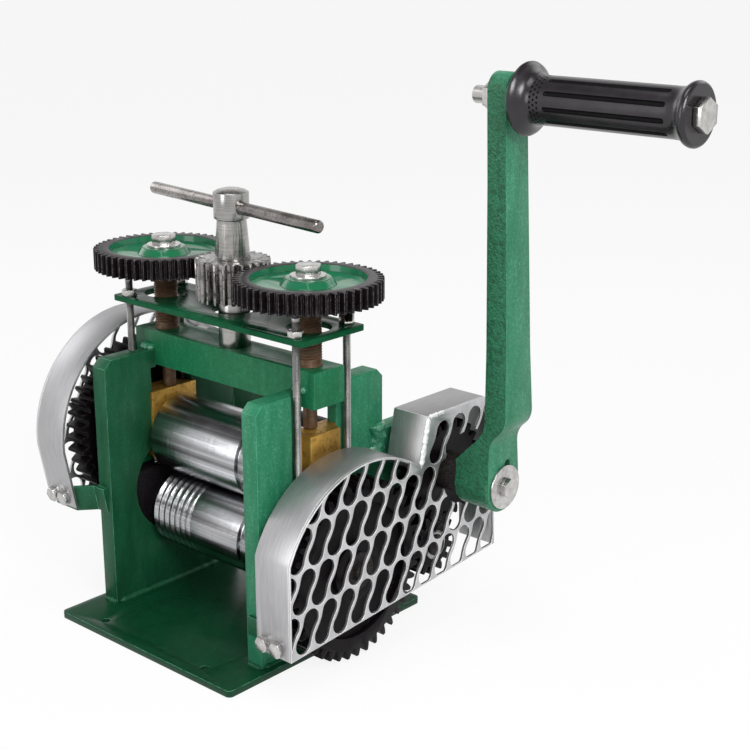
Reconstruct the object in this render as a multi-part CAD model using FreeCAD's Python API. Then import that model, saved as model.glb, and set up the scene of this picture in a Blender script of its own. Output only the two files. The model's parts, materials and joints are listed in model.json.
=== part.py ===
"""Hand-cranked rolling mill for jewellers, built as separate pieces.

Frame: the origin is the middle of the underside of the base plate, below the
roller axes.  X runs along the rollers, towards the crank.  Y runs with the
metal, and the feed side, where the user stands, is at minus Y.  Z is up.
All sizes are in millimetres.
"""
import FreeCAD
import Part
import math
import os

from FreeCAD import Vector, Rotation, Placement

# base plate and frame
base_half_x, base_half_y, base_thick = 93.0, 100.0, 5.0
base_corner = 4.0
base_hole_x, base_hole_y, base_hole_radius = 55.0, 88.0, 3.35
frame_inner, frame_outer = 72.5, 86.5
frame_half_y, frame_top, frame_chamfer = 63.0, 197.0, 6.0
window_half, window_top = 20.0, 183.0
slot_half = 15.0
rebate_half, rebate_floor, rebate_bottom = 30.0, 81.5, 95.0
beam_half_x, beam_bottom, beam_top = 94.0, 185.0, 211.0

# rollers and their bearings
roller_radius, roller_half = 30.0, 65.0
lower_axis, upper_axis = 69.0, 130.0
journal_radius, shoulder_radius = 12.0, 17.0
running_gap = 0.05
end_gap = 0.1
groove_place, groove_width, groove_depth = 29.5, 4.0, 3.0
wire_grooves, wire_first, wire_pitch = 7, -61.8, 6.3
wire_widest, wire_narrowest = 5.0, 2.0
carrier_radius, carrier_axis, carrier_top = 39.0, 88.0, 104.0
carrier_flange_radius, carrier_flange_thick = 47.0, 3.0
carrier_screw_circle = 43.0
bush_wall = 4.0
block_bottom, block_top = 112.0, 164.5
block_flange_half, block_half, block_nose_half = 21.8, 19.9, 14.9
block_inner, block_step, block_outer = 70.0, 81.2, 90.0
thrust_washer_radius, thrust_washer_thick = 24.0, 2.0

# roller drive: three-millimetre module gears between the frame and the guards
drive_module = 3.0
drive_inner, drive_outer = 102.0, 120.0
roller_teeth, crank_teeth, idler_teeth = 42, 24, 14
gear_seat_radius = 10.0
end_washer_thick, end_screw_radius, end_screw_length = 1.5, 4.0, 16.0
crank_y, crank_z = 98.2, 117.0
shaft_radius, boss_seat_radius = 11.0, 9.0
idler_stud_radius = 8.0
arm_top, arm_rear = 150.0, 118.0
left_arm_bottom, right_arm_bottom = 92.0, 44.0

# crank
boss_inner, boss_outer = 140.0, 171.4
boss_rear_radius, boss_front_radius = 18.5, 19.2
boss_washer_radius, boss_washer_thick, boss_bolt_radius = 16.2, 2.0, 4.0
boss_slot_half, boss_slot_radius, boss_key_turn = 3.0, 20.0, -13.0
crank_length, crank_lean = 278.0, 2.87
arm_inner, arm_outer, arm_low_inner, arm_low_outer = 168.9, 183.9, 167.2, 185.2
arm_low_half, arm_middle_half, arm_top_half = 17.5, 15.4, 11.8
eye_start, eye_end, eye_radius, eye_tip = 181.0, 191.2, 17.5, 16.4
grip_start, grip_end, grip_bolt_radius = 191.6, 318.7, 6.0
grip_flange, grip_barrel, grip_end_flange = 24.1, 16.0, 20.1
grip_head, grip_head_thick, grip_nut_flats, grip_nut_thick = 19.0, 5.5, 17.0, 6.0
grip_thread = 154.2

# lift: two pressing screws turned by one spindle
screw_x, screw_radius, screw_nose_radius = 75.0, 9.0, 5.0
screw_nose_top, screw_top, screw_square = 188.0, 272.8, 12.0
lift_module, lift_teeth, spindle_teeth = 2.0, 50, 25
lift_gear_bottom, lift_gear_top = 258.0, 273.0
pinion_bottom, pinion_top = 246.0, 275.0
spindle_radius, spindle_seat_radius, spindle_pivot_radius = 11.5, 8.0, 6.0
spindle_foot, spindle_top = 181.0, 320.0
circlip_bottom, circlip_thick, circlip_depth = 183.3, 1.5, 1.5
plate_half_x, plate_half_y, plate_bottom, plate_top = 99.0, 31.4, 233.6, 237.6
plate_hole_radius, plate_corner = 16.0, 3.0
rod_x, rod_y, rod_radius, rod_top = 87.0, 25.0, 2.9, 251.6
strap_inner, strap_outer, strap_half_y, strap_thick = 82.0, 93.0, 29.0, 6.0
spring_x, spring_y, spring_radius = 77.0, 15.5, 3.2
spring_wall, spring_top = 1.0, 121.0
hub_top, hub_radius, neck_radius, neck_top = 325.0, 12.75, 10.6, 303.0
bar_z, bar_half, bar_radius, bar_turn = 312.5, 100.0, 4.5, -7.6

# guards of bent sheet
sheet = 2.0
guard_inner = 95.0
right_guard_face, left_guard_face = 128.0, 127.0
guard_front, guard_front_low = -75.0, 29.0
guard_arc_y, guard_arc_z, guard_arc_radius = 4.0, 65.5, 85.5
guard_box = [(58.5, 130.0), (66.5, 167.5), (131.0, 167.5), (142.5, 135.0), (146.8, 44.6)]
boss_window_y, boss_window_z, boss_window = 111.2, 117.9, 28.5
left_arc_z, left_arc_radius = 132.0, 88.0
left_end_y, left_end_z, left_kink_z = -79.0, 81.0, 128.0
left_rear_radius, left_rear_turn = 46.0, -50.0
strap_sheet = 3.0
right_strap_low, right_strap_high, right_bolt_z = 30.0, 44.0, 35.5
left_strap_low, left_strap_high, left_bolt_z = 78.0, 98.0, 88.0
rear_strap_low, rear_strap_high, rear_bolt_z = 76.0, 92.0, 84.0

# peanut-shaped perforation, repeated on a slightly tilted lattice
hole_start = (7.07, 72.92)
hole_step_along = (18.17, 1.04)
hole_step_up = (-2.53, 30.12)
lobe_step = (7.9, 16.3)
lobe_radius, neck_half = 7.3, 6.2
hole_margin = 1.0
least_hole_area, box_hole_area = 15.0, 200.0


def box(x0, x1, y0, y1, z0, z1):
    return Part.makeBox(x1 - x0, y1 - y0, z1 - z0, Vector(x0, y0, z0))


def rod_along_x(radius, x0, x1, y, z):
    return Part.makeCylinder(radius, x1 - x0, Vector(x0, y, z), Vector(1, 0, 0))


def rod_along_z(radius, z0, z1, x=0.0, y=0.0):
    return Part.makeCylinder(radius, z1 - z0, Vector(x, y, z0))


def ring_along_x(outer, inner, x0, x1, y, z):
    return rod_along_x(outer, x0, x1, y, z).cut(rod_along_x(inner, x0 - 1, x1 + 1, y, z))


def ring_along_z(outer, inner, z0, z1, x=0.0, y=0.0):
    return rod_along_z(outer, z0, z1, x, y).cut(rod_along_z(inner, z0 - 1, z1 + 1, x, y))


def turned(stations, inner=0.0):
    """Solid of revolution about +Z from (height, radius) stations."""
    low, high = stations[0][0], stations[-1][0]
    points = [Vector(radius, 0, height) for height, radius in stations]
    points = [Vector(inner, 0, low)] + points + [Vector(inner, 0, high)]
    face = Part.Face(Part.makePolygon(points + points[:1]))
    return face.revolve(Vector(0, 0, 0), Vector(0, 0, 1), 360)


def along_x(shape, y, z, x=0.0):
    """Lay a shape made about +Z along +X, so that its own X and Y become Y and Z."""
    laid = shape.copy()
    laid.Placement = Placement(Vector(x, y, z), Rotation(Vector(1, 1, 1), 120))
    return laid


def mirrored(shape):
    return shape.mirror(Vector(0, 0, 0), Vector(1, 0, 0))


def prism_x(points, x0, x1):
    """Extrude an outline given as (y, z) points from x0 to x1."""
    corners = [Vector(x0, y, z) for y, z in points]
    face = Part.Face(Part.makePolygon(corners + corners[:1]))
    return face.extrude(Vector(x1 - x0, 0, 0))


def prism_z(points, z0, z1):
    corners = [Vector(x, y, z0) for x, y in points]
    face = Part.Face(Part.makePolygon(corners + corners[:1]))
    return face.extrude(Vector(0, 0, z1 - z0))


def hexagon(across_flats, z0, z1):
    radius = across_flats / math.sqrt(3)
    corners = [(radius * math.cos(math.radians(60 * i)), radius * math.sin(math.radians(60 * i)))
               for i in range(6)]
    return prism_z(corners, z0, z1)


def bolt(across_flats, head, shank, length):
    """Hex bolt with its seat at z = 0: head above, shank below."""
    return hexagon(across_flats, 0, head).fuse(rod_along_z(shank, -length, 0))


def aimed(shape, place, direction):
    turned_shape = shape.copy()
    turned_shape.Placement = Placement(place, Rotation(Vector(0, 0, 1), direction))
    return turned_shape


def rounded_plate(half_x, half_y, z0, z1, corner):
    plate = box(-half_x, half_x, -half_y, half_y, z0, z1)
    edges = [edge for edge in plate.Edges if abs(edge.Vertexes[0].Z - edge.Vertexes[1].Z) > 0.5]
    return plate.makeFillet(corner, edges)


def save(name, *solids):
    shape = solids[0] if len(solids) == 1 else Part.makeCompound(solids)
    shape.exportStep("parts/" + name + ".step")


# ---- gears ----

pressure_angle = math.radians(20)
backlash = 0.36


def involute(angle):
    return math.tan(angle) - angle


def half_tooth(radius, pitch_radius, teeth):
    """Half the angle that a tooth fills at a radius, thinned for backlash."""
    base = pitch_radius * math.cos(pressure_angle)
    at_radius = math.acos(min(1.0, base / radius))
    half = math.pi / (2 * teeth) - backlash / (4 * pitch_radius)
    return half + involute(pressure_angle) - involute(at_radius)


def gear_blank(module, teeth, width, phase, relief=0.0):
    """Spur gear about +Z with one tooth centred on the phase angle, in degrees."""
    pitch_radius = module * teeth / 2
    base = pitch_radius * math.cos(pressure_angle)
    root, tip = pitch_radius - 1.25 * module, pitch_radius + module
    flank = [(root, half_tooth(max(root, base), pitch_radius, teeth) - relief / root)]
    if root < base:
        flank.append((base, half_tooth(base, pitch_radius, teeth)))
    for radius in (pitch_radius + 0.1 * module, tip):
        flank.append((radius, half_tooth(radius, pitch_radius, teeth)))
    points = []
    for tooth in range(teeth):
        middle = math.radians(phase) + 2 * math.pi * tooth / teeth
        angles = [(radius, middle - half) for radius, half in flank]
        angles += [(radius, middle + half) for radius, half in reversed(flank)]
        points += [(radius * math.cos(turn), radius * math.sin(turn)) for radius, turn in angles]
    return prism_z(points, 0, width)


def meshed_phase(phase, teeth, other_teeth, direction):
    """Phase of a gear that meshes with another one lying in a direction, in degrees."""
    offset = (phase - direction) * teeth / 360
    gap = direction + 180 - offset * 360 / other_teeth
    return gap + 180 / other_teeth


def direction_to(start, end):
    return math.degrees(math.atan2(end[1] - start[1], end[0] - start[0]))


lower_centre = (0.0, lower_axis)
upper_centre = (0.0, upper_axis)
crank_centre = (crank_y, crank_z)


def idler_place():
    """Centre of the idler, in mesh with the lower gear and the crank gear."""
    to_lower = drive_module * (roller_teeth + idler_teeth) / 2
    to_crank = drive_module * (crank_teeth + idler_teeth) / 2
    span = math.dist(lower_centre, crank_centre)
    along = (to_lower ** 2 - to_crank ** 2 + span ** 2) / (2 * span)
    aside = math.sqrt(to_lower ** 2 - along ** 2)
    unit_y = (crank_centre[0] - lower_centre[0]) / span
    unit_z = (crank_centre[1] - lower_centre[1]) / span
    return (lower_centre[0] + along * unit_y + aside * unit_z,
            lower_centre[1] + along * unit_z - aside * unit_y)


idler_centre = idler_place()

lower_phase = direction_to(lower_centre, idler_centre)
idler_phase = meshed_phase(lower_phase, roller_teeth, idler_teeth,
                           direction_to(lower_centre, idler_centre))
crank_phase = meshed_phase(idler_phase, idler_teeth, crank_teeth,
                           direction_to(idler_centre, crank_centre))
upper_phase = direction_to(upper_centre, crank_centre)
left_phase = meshed_phase(upper_phase, roller_teeth, crank_teeth,
                          direction_to(upper_centre, crank_centre))

key_width, key_height = 5.0, 5.0


def key(seat_radius, x0, x1, y, z):
    """Parallel key half sunk in a shaft along X, on its upper side."""
    middle = z + seat_radius
    return box(x0, x1, y - key_width / 2, y + key_width / 2,
               middle - key_height / 2, middle + key_height / 2)


def roller_gear(phase, centre):
    width = drive_outer - drive_inner
    gear = gear_blank(drive_module, roller_teeth, width, phase)
    recess = 5.0
    for low, high in ((-1, recess), (width - recess, width + 1)):
        gear = gear.cut(ring_along_z(50.0, 22.0, low, high))
    gear = gear.cut(rod_along_z(gear_seat_radius + 0.02, -1, width + 1))
    laid = along_x(gear, centre[0], centre[1], drive_inner)
    return laid.cut(gear_key(centre))


def gear_key(centre):
    return key(gear_seat_radius, drive_inner + 1, drive_outer - 2, centre[0], centre[1])


def small_drive_gear(teeth, phase, centre, bore):
    gear = gear_blank(drive_module, teeth, drive_outer - drive_inner, phase, relief=0.12)
    gear = gear.cut(rod_along_z(bore, -1, drive_outer))
    return along_x(gear, centre[0], centre[1], drive_inner)


def end_washer(centre):
    return ring_along_x(14.0, end_screw_radius + 0.3, drive_outer, drive_outer + end_washer_thick,
                        centre[0], centre[1])


def end_screw(centre):
    screw = bolt(13.0, 3.5, end_screw_radius, end_screw_length)
    return aimed(screw, Vector(drive_outer + end_washer_thick, centre[0], centre[1]), Vector(1, 0, 0))


def end_screw_hole(centre):
    return rod_along_x(end_screw_radius + 0.02, drive_outer - end_screw_length, drive_outer + 1,
                       centre[0], centre[1])


# ---- frame ----

def base_plate():
    plate = rounded_plate(base_half_x, base_half_y, 0, base_thick, base_corner)
    for x in (-base_hole_x, base_hole_x):
        for y in (-base_hole_y, base_hole_y):
            plate = plate.cut(rod_along_z(base_hole_radius, -1, base_thick + 1, x, y))
    return plate


def side_plate():
    outline = [(-frame_half_y, base_thick), (frame_half_y, base_thick),
               (frame_half_y, frame_top - frame_chamfer), (frame_half_y - frame_chamfer, frame_top),
               (frame_chamfer - frame_half_y, frame_top), (-frame_half_y, frame_top - frame_chamfer)]
    plate = prism_x(outline, frame_inner, frame_outer)
    inner, outer = frame_inner - 1, frame_outer + 1
    plate = plate.cut(box(inner, outer, -window_half, window_half, carrier_axis, window_top))
    plate = plate.cut(box(inner, outer, -slot_half, slot_half, window_top - 1, frame_top + 1))
    plate = plate.cut(rod_along_x(carrier_radius, inner, outer, 0, carrier_axis))
    rebate = box(rebate_floor, outer, -rebate_half, rebate_half, rebate_bottom, frame_top + 1)
    plate = plate.cut(rebate)
    for y, z in carrier_screw_places():
        plate = plate.cut(rod_along_x(2.02, frame_inner + 4, outer, y, z))
    return plate


def carrier_screw_places():
    turns = [math.radians(turn) for turn in (200, 270, 340)]
    return [(carrier_screw_circle * math.cos(turn), carrier_axis + carrier_screw_circle * math.sin(turn))
            for turn in turns]


def lower_carrier():
    """Round bearing carrier of the lower roller, with a flat top below the upper block."""
    face = frame_outer + carrier_flange_thick
    disc = rod_along_x(carrier_radius - 0.05, frame_inner, frame_outer, 0, carrier_axis)
    disc = disc.fuse(rod_along_x(carrier_flange_radius, frame_outer, face, 0, carrier_axis))
    top = box(frame_inner - 1, face + 1, -60, 60, carrier_top, carrier_top + 60)
    carrier = disc.cut(top)
    carrier = carrier.cut(rod_along_x(journal_radius + bush_wall, 0, face + 1, 0, lower_axis))
    for y, z in carrier_screw_places():
        carrier = carrier.cut(rod_along_x(2.02, frame_outer - 1, face + 1, y, z))
    return carrier


def carrier_screws():
    screws = []
    face = frame_outer + carrier_flange_thick
    for y, z in carrier_screw_places():
        screw = rod_along_x(2.0, frame_inner + 4.5, face, y, z)
        screw = screw.fuse(rod_along_x(3.5, face, face + 3, y, z))
        screws += [screw, mirrored(screw)]
    return screws


def lower_bush():
    outer = journal_radius + bush_wall
    face = frame_outer + carrier_flange_thick
    return ring_along_x(outer, journal_radius + running_gap, frame_inner, face, 0, lower_axis)


def top_beam():
    beam = box(-beam_half_x, beam_half_x, -slot_half, slot_half, beam_bottom, beam_top)
    for x in (-screw_x, screw_x):
        beam = beam.cut(rod_along_z(screw_radius + running_gap, beam_bottom - 1, beam_top + 1, x))
    return beam.cut(rod_along_z(spindle_pivot_radius + 3, beam_bottom - 1, beam_top + 1))


def spindle_bush():
    return ring_along_z(spindle_pivot_radius + 3, spindle_pivot_radius + running_gap,
                        beam_bottom, beam_top)


def rear_arm(bottom, low_cut, top_cut):
    """Plate welded to the rear edge of a side plate, which carries the crank shaft."""
    outline = [(frame_half_y, bottom), (arm_rear - low_cut, bottom), (arm_rear, bottom + low_cut),
               (arm_rear, arm_top - top_cut), (arm_rear - top_cut, arm_top), (frame_half_y, arm_top)]
    arm = prism_x(outline, frame_inner, frame_outer)
    return arm.cut(rod_along_x(shaft_radius + 3, 0, 100, crank_y, crank_z))


def left_rear_arm():
    return mirrored(rear_arm(left_arm_bottom, 10.0, 20.0))


def right_rear_arm():
    arm = rear_arm(right_arm_bottom, 28.0, 21.0)
    return arm.cut(rod_along_x(idler_stud_radius, 0, 100, idler_centre[0], idler_centre[1]))


def shaft_bush():
    return ring_along_x(shaft_radius + 3, shaft_radius + running_gap,
                        frame_inner, frame_outer, crank_y, crank_z)


def idler_stud():
    stations = [(frame_inner, idler_stud_radius), (frame_outer, idler_stud_radius),
                (frame_outer, 12.0), (drive_inner - end_gap, 12.0),
                (drive_inner - end_gap, idler_stud_radius), (drive_outer + 0.2, idler_stud_radius),
                (drive_outer + 0.2, idler_stud_radius - 1), (drive_outer + 1.4, idler_stud_radius - 1),
                (drive_outer + 1.4, idler_stud_radius), (drive_outer + 3, idler_stud_radius)]
    return along_x(turned(stations), idler_centre[0], idler_centre[1])


def idler_circlip():
    return ring_along_x(11.0, idler_stud_radius - 1, drive_outer + 0.2, drive_outer + 1.4,
                        idler_centre[0], idler_centre[1])


# ---- rollers ----

def grooved(stations, middle, width, depth, flat):
    """Add a ring groove to the barrel stations."""
    stations.append((middle - width / 2, roller_radius))
    stations.append((middle - flat / 2, roller_radius - depth))
    if flat > 0:
        stations.append((middle + flat / 2, roller_radius - depth))
    stations.append((middle + width / 2, roller_radius))


def barrel(wire):
    stations = [(-roller_half, roller_radius - 1), (-roller_half + 1, roller_radius)]
    if wire:
        for i in range(wire_grooves):
            width = wire_widest + (wire_narrowest - wire_widest) * i / (wire_grooves - 1)
            grooved(stations, wire_first + wire_pitch * i, width, width / 2, 0)
    grooved(stations, groove_place, groove_width, groove_depth, groove_width - 1)
    return stations + [(roller_half - 1, roller_radius), (roller_half, roller_radius - 1)]


def lower_roller():
    shoulder = frame_inner - end_gap
    stations = [(-93, journal_radius), (-shoulder, journal_radius), (-shoulder, shoulder_radius),
                (-roller_half, shoulder_radius)]
    stations += barrel(True)
    stations += [(roller_half, shoulder_radius), (shoulder, shoulder_radius),
                 (shoulder, journal_radius), (drive_inner - end_gap, journal_radius),
                 (drive_inner - end_gap, gear_seat_radius), (drive_outer - 0.4, gear_seat_radius)]
    roller = along_x(turned(stations), 0, lower_axis)
    return roller.cut(gear_key(lower_centre)).cut(end_screw_hole(lower_centre))


def upper_roller():
    """Made with its gear end to the right, then mirrored, because its gear is on the left."""
    shoulder = block_inner - 2 * end_gap - thrust_washer_thick
    stations = [(-93, journal_radius), (-shoulder, journal_radius), (-shoulder, shoulder_radius),
                (-roller_half, shoulder_radius)]
    stations += [(-height, radius) for height, radius in reversed(barrel(False))]
    stations += [(roller_half, shoulder_radius), (shoulder, shoulder_radius),
                 (shoulder, journal_radius), (drive_inner - end_gap, journal_radius),
                 (drive_inner - end_gap, gear_seat_radius), (drive_outer - 0.4, gear_seat_radius)]
    roller = along_x(turned(stations), 0, upper_axis)
    return mirrored(roller.cut(gear_key(upper_centre)).cut(end_screw_hole(upper_centre)))


def thrust_washer():
    start = block_inner - end_gap - thrust_washer_thick
    return ring_along_x(thrust_washer_radius, journal_radius + 0.1, start,
                        start + thrust_washer_thick, 0, upper_axis)


def upper_block():
    """Bronze block that slides in the window and carries one end of the upper roller."""
    block = box(block_inner, frame_inner - end_gap, -block_flange_half, block_flange_half,
                block_bottom, block_top)
    block = block.fuse(box(block_inner, block_step, -block_half, block_half, block_bottom, block_top))
    block = block.fuse(box(block_inner, block_outer, -block_nose_half, block_nose_half,
                           block_bottom, block_top))
    block = block.removeSplitter()
    block = block.cut(rod_along_x(journal_radius + running_gap, 60, 100, 0, upper_axis))
    for y in (-spring_y, spring_y):
        block = block.cut(rod_along_z(spring_radius + 0.3, block_bottom - 1, spring_top, spring_x, y))
    return block


def return_springs():
    springs = []
    for x in (-spring_x, spring_x):
        for y in (-spring_y, spring_y):
            springs.append(ring_along_z(spring_radius, spring_radius - spring_wall,
                                        carrier_top, spring_top, x, y))
    return springs


# ---- lift ----

def lift_strap():
    top = block_bottom
    strap = box(strap_inner, strap_outer, -strap_half_y, strap_half_y, top - strap_thick, top)
    for y in (-rod_y, rod_y):
        strap = strap.cut(rod_along_z(rod_radius + 0.02, 0, 200, rod_x, y))
    return strap


def top_plate():
    plate = rounded_plate(plate_half_x, plate_half_y, plate_bottom, plate_top, plate_corner)
    for x in (-screw_x, 0, screw_x):
        plate = plate.cut(rod_along_z(plate_hole_radius, plate_bottom - 1, plate_top + 1, x))
    for x in (-rod_x, rod_x):
        for y in (-rod_y, rod_y):
            plate = plate.cut(rod_along_z(rod_radius + 0.02, 0, 300, x, y))
    return plate


def lift_rods():
    bottom = block_bottom - strap_thick
    return [rod_along_z(rod_radius, bottom, rod_top, x, y)
            for x in (-rod_x, rod_x) for y in (-rod_y, rod_y)]


def rod_nuts():
    """One nut on each rod, and a second one that locks the rear right rod."""
    nut = hexagon(10.0, 0, 5.0).cut(rod_along_z(rod_radius + 0.02, -1, 6))
    nuts = []
    for x in (-rod_x, rod_x):
        for y in (-rod_y, rod_y):
            nuts.append(nut.translated(Vector(x, y, plate_top)))
    nuts.append(nut.translated(Vector(rod_x, rod_y, plate_top + 5.0)))
    return nuts


def screw(x):
    """Pressing screw: nose on the bearing block, thread in the beam, square for its gear."""
    body = turned([(block_top + end_gap, screw_nose_radius - 1), (block_top + 1, screw_nose_radius),
                   (screw_nose_top, screw_nose_radius), (screw_nose_top, screw_radius - 1),
                   (screw_nose_top + 1, screw_radius), (lift_gear_bottom, screw_radius)])
    half = screw_square / 2
    body = body.fuse(box(-half, half, -half, half, lift_gear_bottom, screw_top))
    body = body.cut(rod_along_z(4.02, lift_gear_bottom - 4, screw_top + 1))
    return body.translated(Vector(x, 0, 0))


def lift_gear(x, phase):
    width = lift_gear_top - lift_gear_bottom
    gear = gear_blank(lift_module, lift_teeth, width, phase)
    gear = gear.cut(ring_along_z(40.5, 0.5, width - 5, width + 1))
    hub = Part.makeCone(19.5, 16.0, 5.0, Vector(0, 0, width - 5))
    gear = gear.fuse(hub)
    half = screw_square / 2
    gear = gear.cut(box(-half, half, -half, half, -1, width + 1))
    return gear.translated(Vector(x, 0, lift_gear_bottom))


def screw_washer(x):
    return ring_along_z(12.5, 4.3, lift_gear_top, lift_gear_top + 2, x)


def screw_bolt(x):
    return bolt(15.5, 7.0, 4.0, 19.0).translated(Vector(x, 0, lift_gear_top + 2))


def spindle():
    pivot, groove_top = spindle_pivot_radius, circlip_bottom + circlip_thick
    body = turned([(spindle_foot, pivot), (circlip_bottom, pivot),
                   (circlip_bottom, pivot - circlip_depth), (groove_top, pivot - circlip_depth),
                   (groove_top, pivot), (beam_top + end_gap, pivot),
                   (beam_top + end_gap, spindle_radius),
                   (pinion_bottom, spindle_radius), (pinion_bottom, spindle_seat_radius),
                   (spindle_top, spindle_seat_radius)])
    return body.cut(spindle_key()).cut(cross_bar_hole())


def spindle_circlip():
    return ring_along_z(9.5, spindle_pivot_radius - circlip_depth, circlip_bottom + 0.1,
                        circlip_bottom + circlip_thick - 0.1)


def spindle_key():
    middle = -spindle_seat_radius
    return box(-2.5, 2.5, middle - 2, middle + 2, pinion_bottom + 2, pinion_top - 2)


def spindle_pinion():
    width = pinion_top - pinion_bottom
    gear = gear_blank(lift_module, spindle_teeth, width, 0)
    gear = gear.cut(rod_along_z(spindle_seat_radius + 0.02, -1, width + 1))
    return gear.translated(Vector(0, 0, pinion_bottom)).cut(spindle_key())


def bar_direction():
    turn = math.radians(bar_turn)
    return Vector(math.cos(turn), math.sin(turn), 0)


def cross_bar_hole():
    start = Vector(0, 0, bar_z) - bar_direction() * 20
    return Part.makeCylinder(bar_radius + 0.02, 40, start, bar_direction())


def handle_hub():
    body = turned([(pinion_top, hub_radius), (neck_top, neck_radius), (neck_top + 1.2, hub_radius),
                   (hub_top - 2.5, hub_radius), (hub_top - 1, hub_radius - 2.5),
                   (hub_top, hub_radius - 6)])
    body = body.cut(rod_along_z(spindle_seat_radius + 0.02, pinion_top - 1, spindle_top + 0.2))
    return body.cut(cross_bar_hole())


def cross_bar():
    rounding = 1.2
    end = bar_half - rounding
    bar = turned([(-bar_half, bar_radius - rounding), (-end, bar_radius), (end, bar_radius),
                  (bar_half, bar_radius - rounding)])
    return aimed(bar, Vector(0, 0, bar_z), bar_direction())


# ---- crank ----

def crank_shaft():
    stations = [(0.4 - drive_outer, gear_seat_radius), (end_gap - drive_inner, gear_seat_radius),
                (end_gap - drive_inner, shaft_radius), (drive_inner - end_gap, shaft_radius),
                (drive_inner - end_gap, gear_seat_radius), (boss_inner, gear_seat_radius),
                (boss_inner, boss_seat_radius), (boss_outer - 0.4, boss_seat_radius)]
    shaft = along_x(turned(stations), crank_y, crank_z)
    shaft = shaft.cut(gear_key(crank_centre)).cut(mirrored(gear_key(crank_centre)))
    shaft = shaft.cut(boss_key()).cut(mirrored(end_screw_hole(crank_centre)))
    return shaft.cut(rod_along_x(boss_bolt_radius + 0.02, boss_outer - 24, boss_outer + 1,
                                 crank_y, crank_z))


def boss_key():
    piece = key(boss_seat_radius, boss_inner + 1, boss_outer - 4, crank_y, crank_z)
    piece.rotate(Vector(0, crank_y, crank_z), Vector(1, 0, 0), boss_key_turn)
    return piece


def crank_gear():
    gear = small_drive_gear(crank_teeth, crank_phase, crank_centre, gear_seat_radius + 0.02)
    return gear.cut(gear_key(crank_centre))


def left_drive_pinion():
    """Made on the right and mirrored, which keeps every angle in the YZ plane."""
    gear = small_drive_gear(crank_teeth, left_phase, crank_centre, gear_seat_radius + 0.02)
    return mirrored(gear.cut(gear_key(crank_centre)))


def crank_spacer():
    return ring_along_x(14.0, gear_seat_radius + 0.02, drive_outer, boss_inner, crank_y, crank_z)


def leaned(shape):
    """Lean the crank, made upright, about its shaft."""
    lean = shape.copy()
    lean.rotate(Vector(0, crank_y, crank_z), Vector(1, 0, 0), crank_lean)
    return lean


def grip_centre():
    lean = math.radians(crank_lean)
    return (crank_y - crank_length * math.sin(lean), crank_z + crank_length * math.cos(lean))


def arm_side():
    """Side of the blade as (x, height): it swings outward from the boss in an S-bend."""
    top, even = crank_length + eye_tip, 220.0
    low = [line((142.0, -8.0), (142.0, 19.5)), line((142.0, 19.5), (160.9, 38.4)),
           arc((160.9, 38.4), (165.6, 45.6), (arm_low_inner, 54.0))]
    corners = [(arm_low_inner, 54.0), (arm_inner, even), (arm_inner, top), (arm_outer, top),
               (arm_outer, even), (arm_low_outer, 59.0)]
    rise = [line(start, end) for start, end in zip(corners, corners[1:])]
    bend = [arc((arm_low_outer, 59.0), (183.3, 51.2), (178.3, 45.0)),
            arc((178.3, 45.0), (173.3, 38.8), (boss_outer, 31.0)),
            line((boss_outer, 31.0), (boss_outer, -8.0)), line((boss_outer, -8.0), (142.0, -8.0))]
    return low + rise + bend


def arm_front():
    """Front of the blade as (y, height): it tapers to a round end above the grip bolt."""
    shoulder, tip = crank_length + eye_tip - arm_top_half, crank_length + eye_tip
    right = [arc((arm_low_half, 10.0), (arm_middle_half, 62.0), (13.8, 104.0)),
             line((13.8, 104.0), (arm_top_half, shoulder))]
    left = [line((-arm_top_half, shoulder), (-13.8, 104.0)),
            arc((-13.8, 104.0), (-arm_middle_half, 62.0), (-arm_low_half, 10.0))]
    end = arc((arm_top_half, shoulder), (0.0, tip), (-arm_top_half, shoulder))
    foot = [line((-arm_low_half, 10.0), (-arm_low_half, -8.0)),
            line((-arm_low_half, -8.0), (arm_low_half, -8.0)),
            line((arm_low_half, -8.0), (arm_low_half, 10.0))]
    return right + [end] + left + foot


def crank_arm():
    """Forged arm: conical boss, outward bend, tapering blade and an eye for the grip."""
    blade = prism_of(arm_side(), -30.0, 30.0)
    blade.rotate(Vector(0, 0, 0), Vector(0, 0, 1), -90)
    blade = blade.common(prism_of(arm_front(), 130.0, 200.0))
    eye = Part.makeCone(arm_top_half, eye_radius, eye_end - eye_start,
                        Vector(eye_start, 0, crank_length), Vector(1, 0, 0))
    boss = turned([(boss_inner, boss_rear_radius - 1.5), (boss_inner + 2, boss_rear_radius),
                   (boss_outer - 1.5, boss_front_radius), (boss_outer, boss_front_radius - 1.2)])
    arm = blade.fuse(eye).fuse(along_x(boss, 0, 0)).removeSplitter()
    arm = arm.cut(rod_along_x(grip_bolt_radius + 0.02, 150, 200, 0, crank_length))
    arm = arm.cut(rod_along_x(boss_seat_radius + 0.02, 130, 200, 0, 0))
    arm = leaned(arm.translated(Vector(0, crank_y, crank_z)))
    return arm.cut(boss_key()).cut(boss_slot())


def boss_slot():
    """Open end of the keyway, which shows above the washer."""
    start, end = boss_outer - 4, boss_outer + 1
    height = crank_z + boss_slot_radius - boss_slot_half
    slot = box(start, end, crank_y - boss_slot_half, crank_y + boss_slot_half, crank_z, height)
    slot = slot.fuse(rod_along_x(boss_slot_half, start, end, crank_y, height))
    slot.rotate(Vector(0, crank_y, crank_z), Vector(1, 0, 0), boss_key_turn)
    return slot


def crank_washer():
    return ring_along_x(boss_washer_radius, boss_bolt_radius + 0.3, boss_outer,
                        boss_outer + boss_washer_thick, crank_y, crank_z)


def crank_bolt():
    return aimed(bolt(13.0, 5.0, boss_bolt_radius, 22.0),
                 Vector(boss_outer + boss_washer_thick, crank_y, crank_z), Vector(1, 0, 0))


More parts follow.
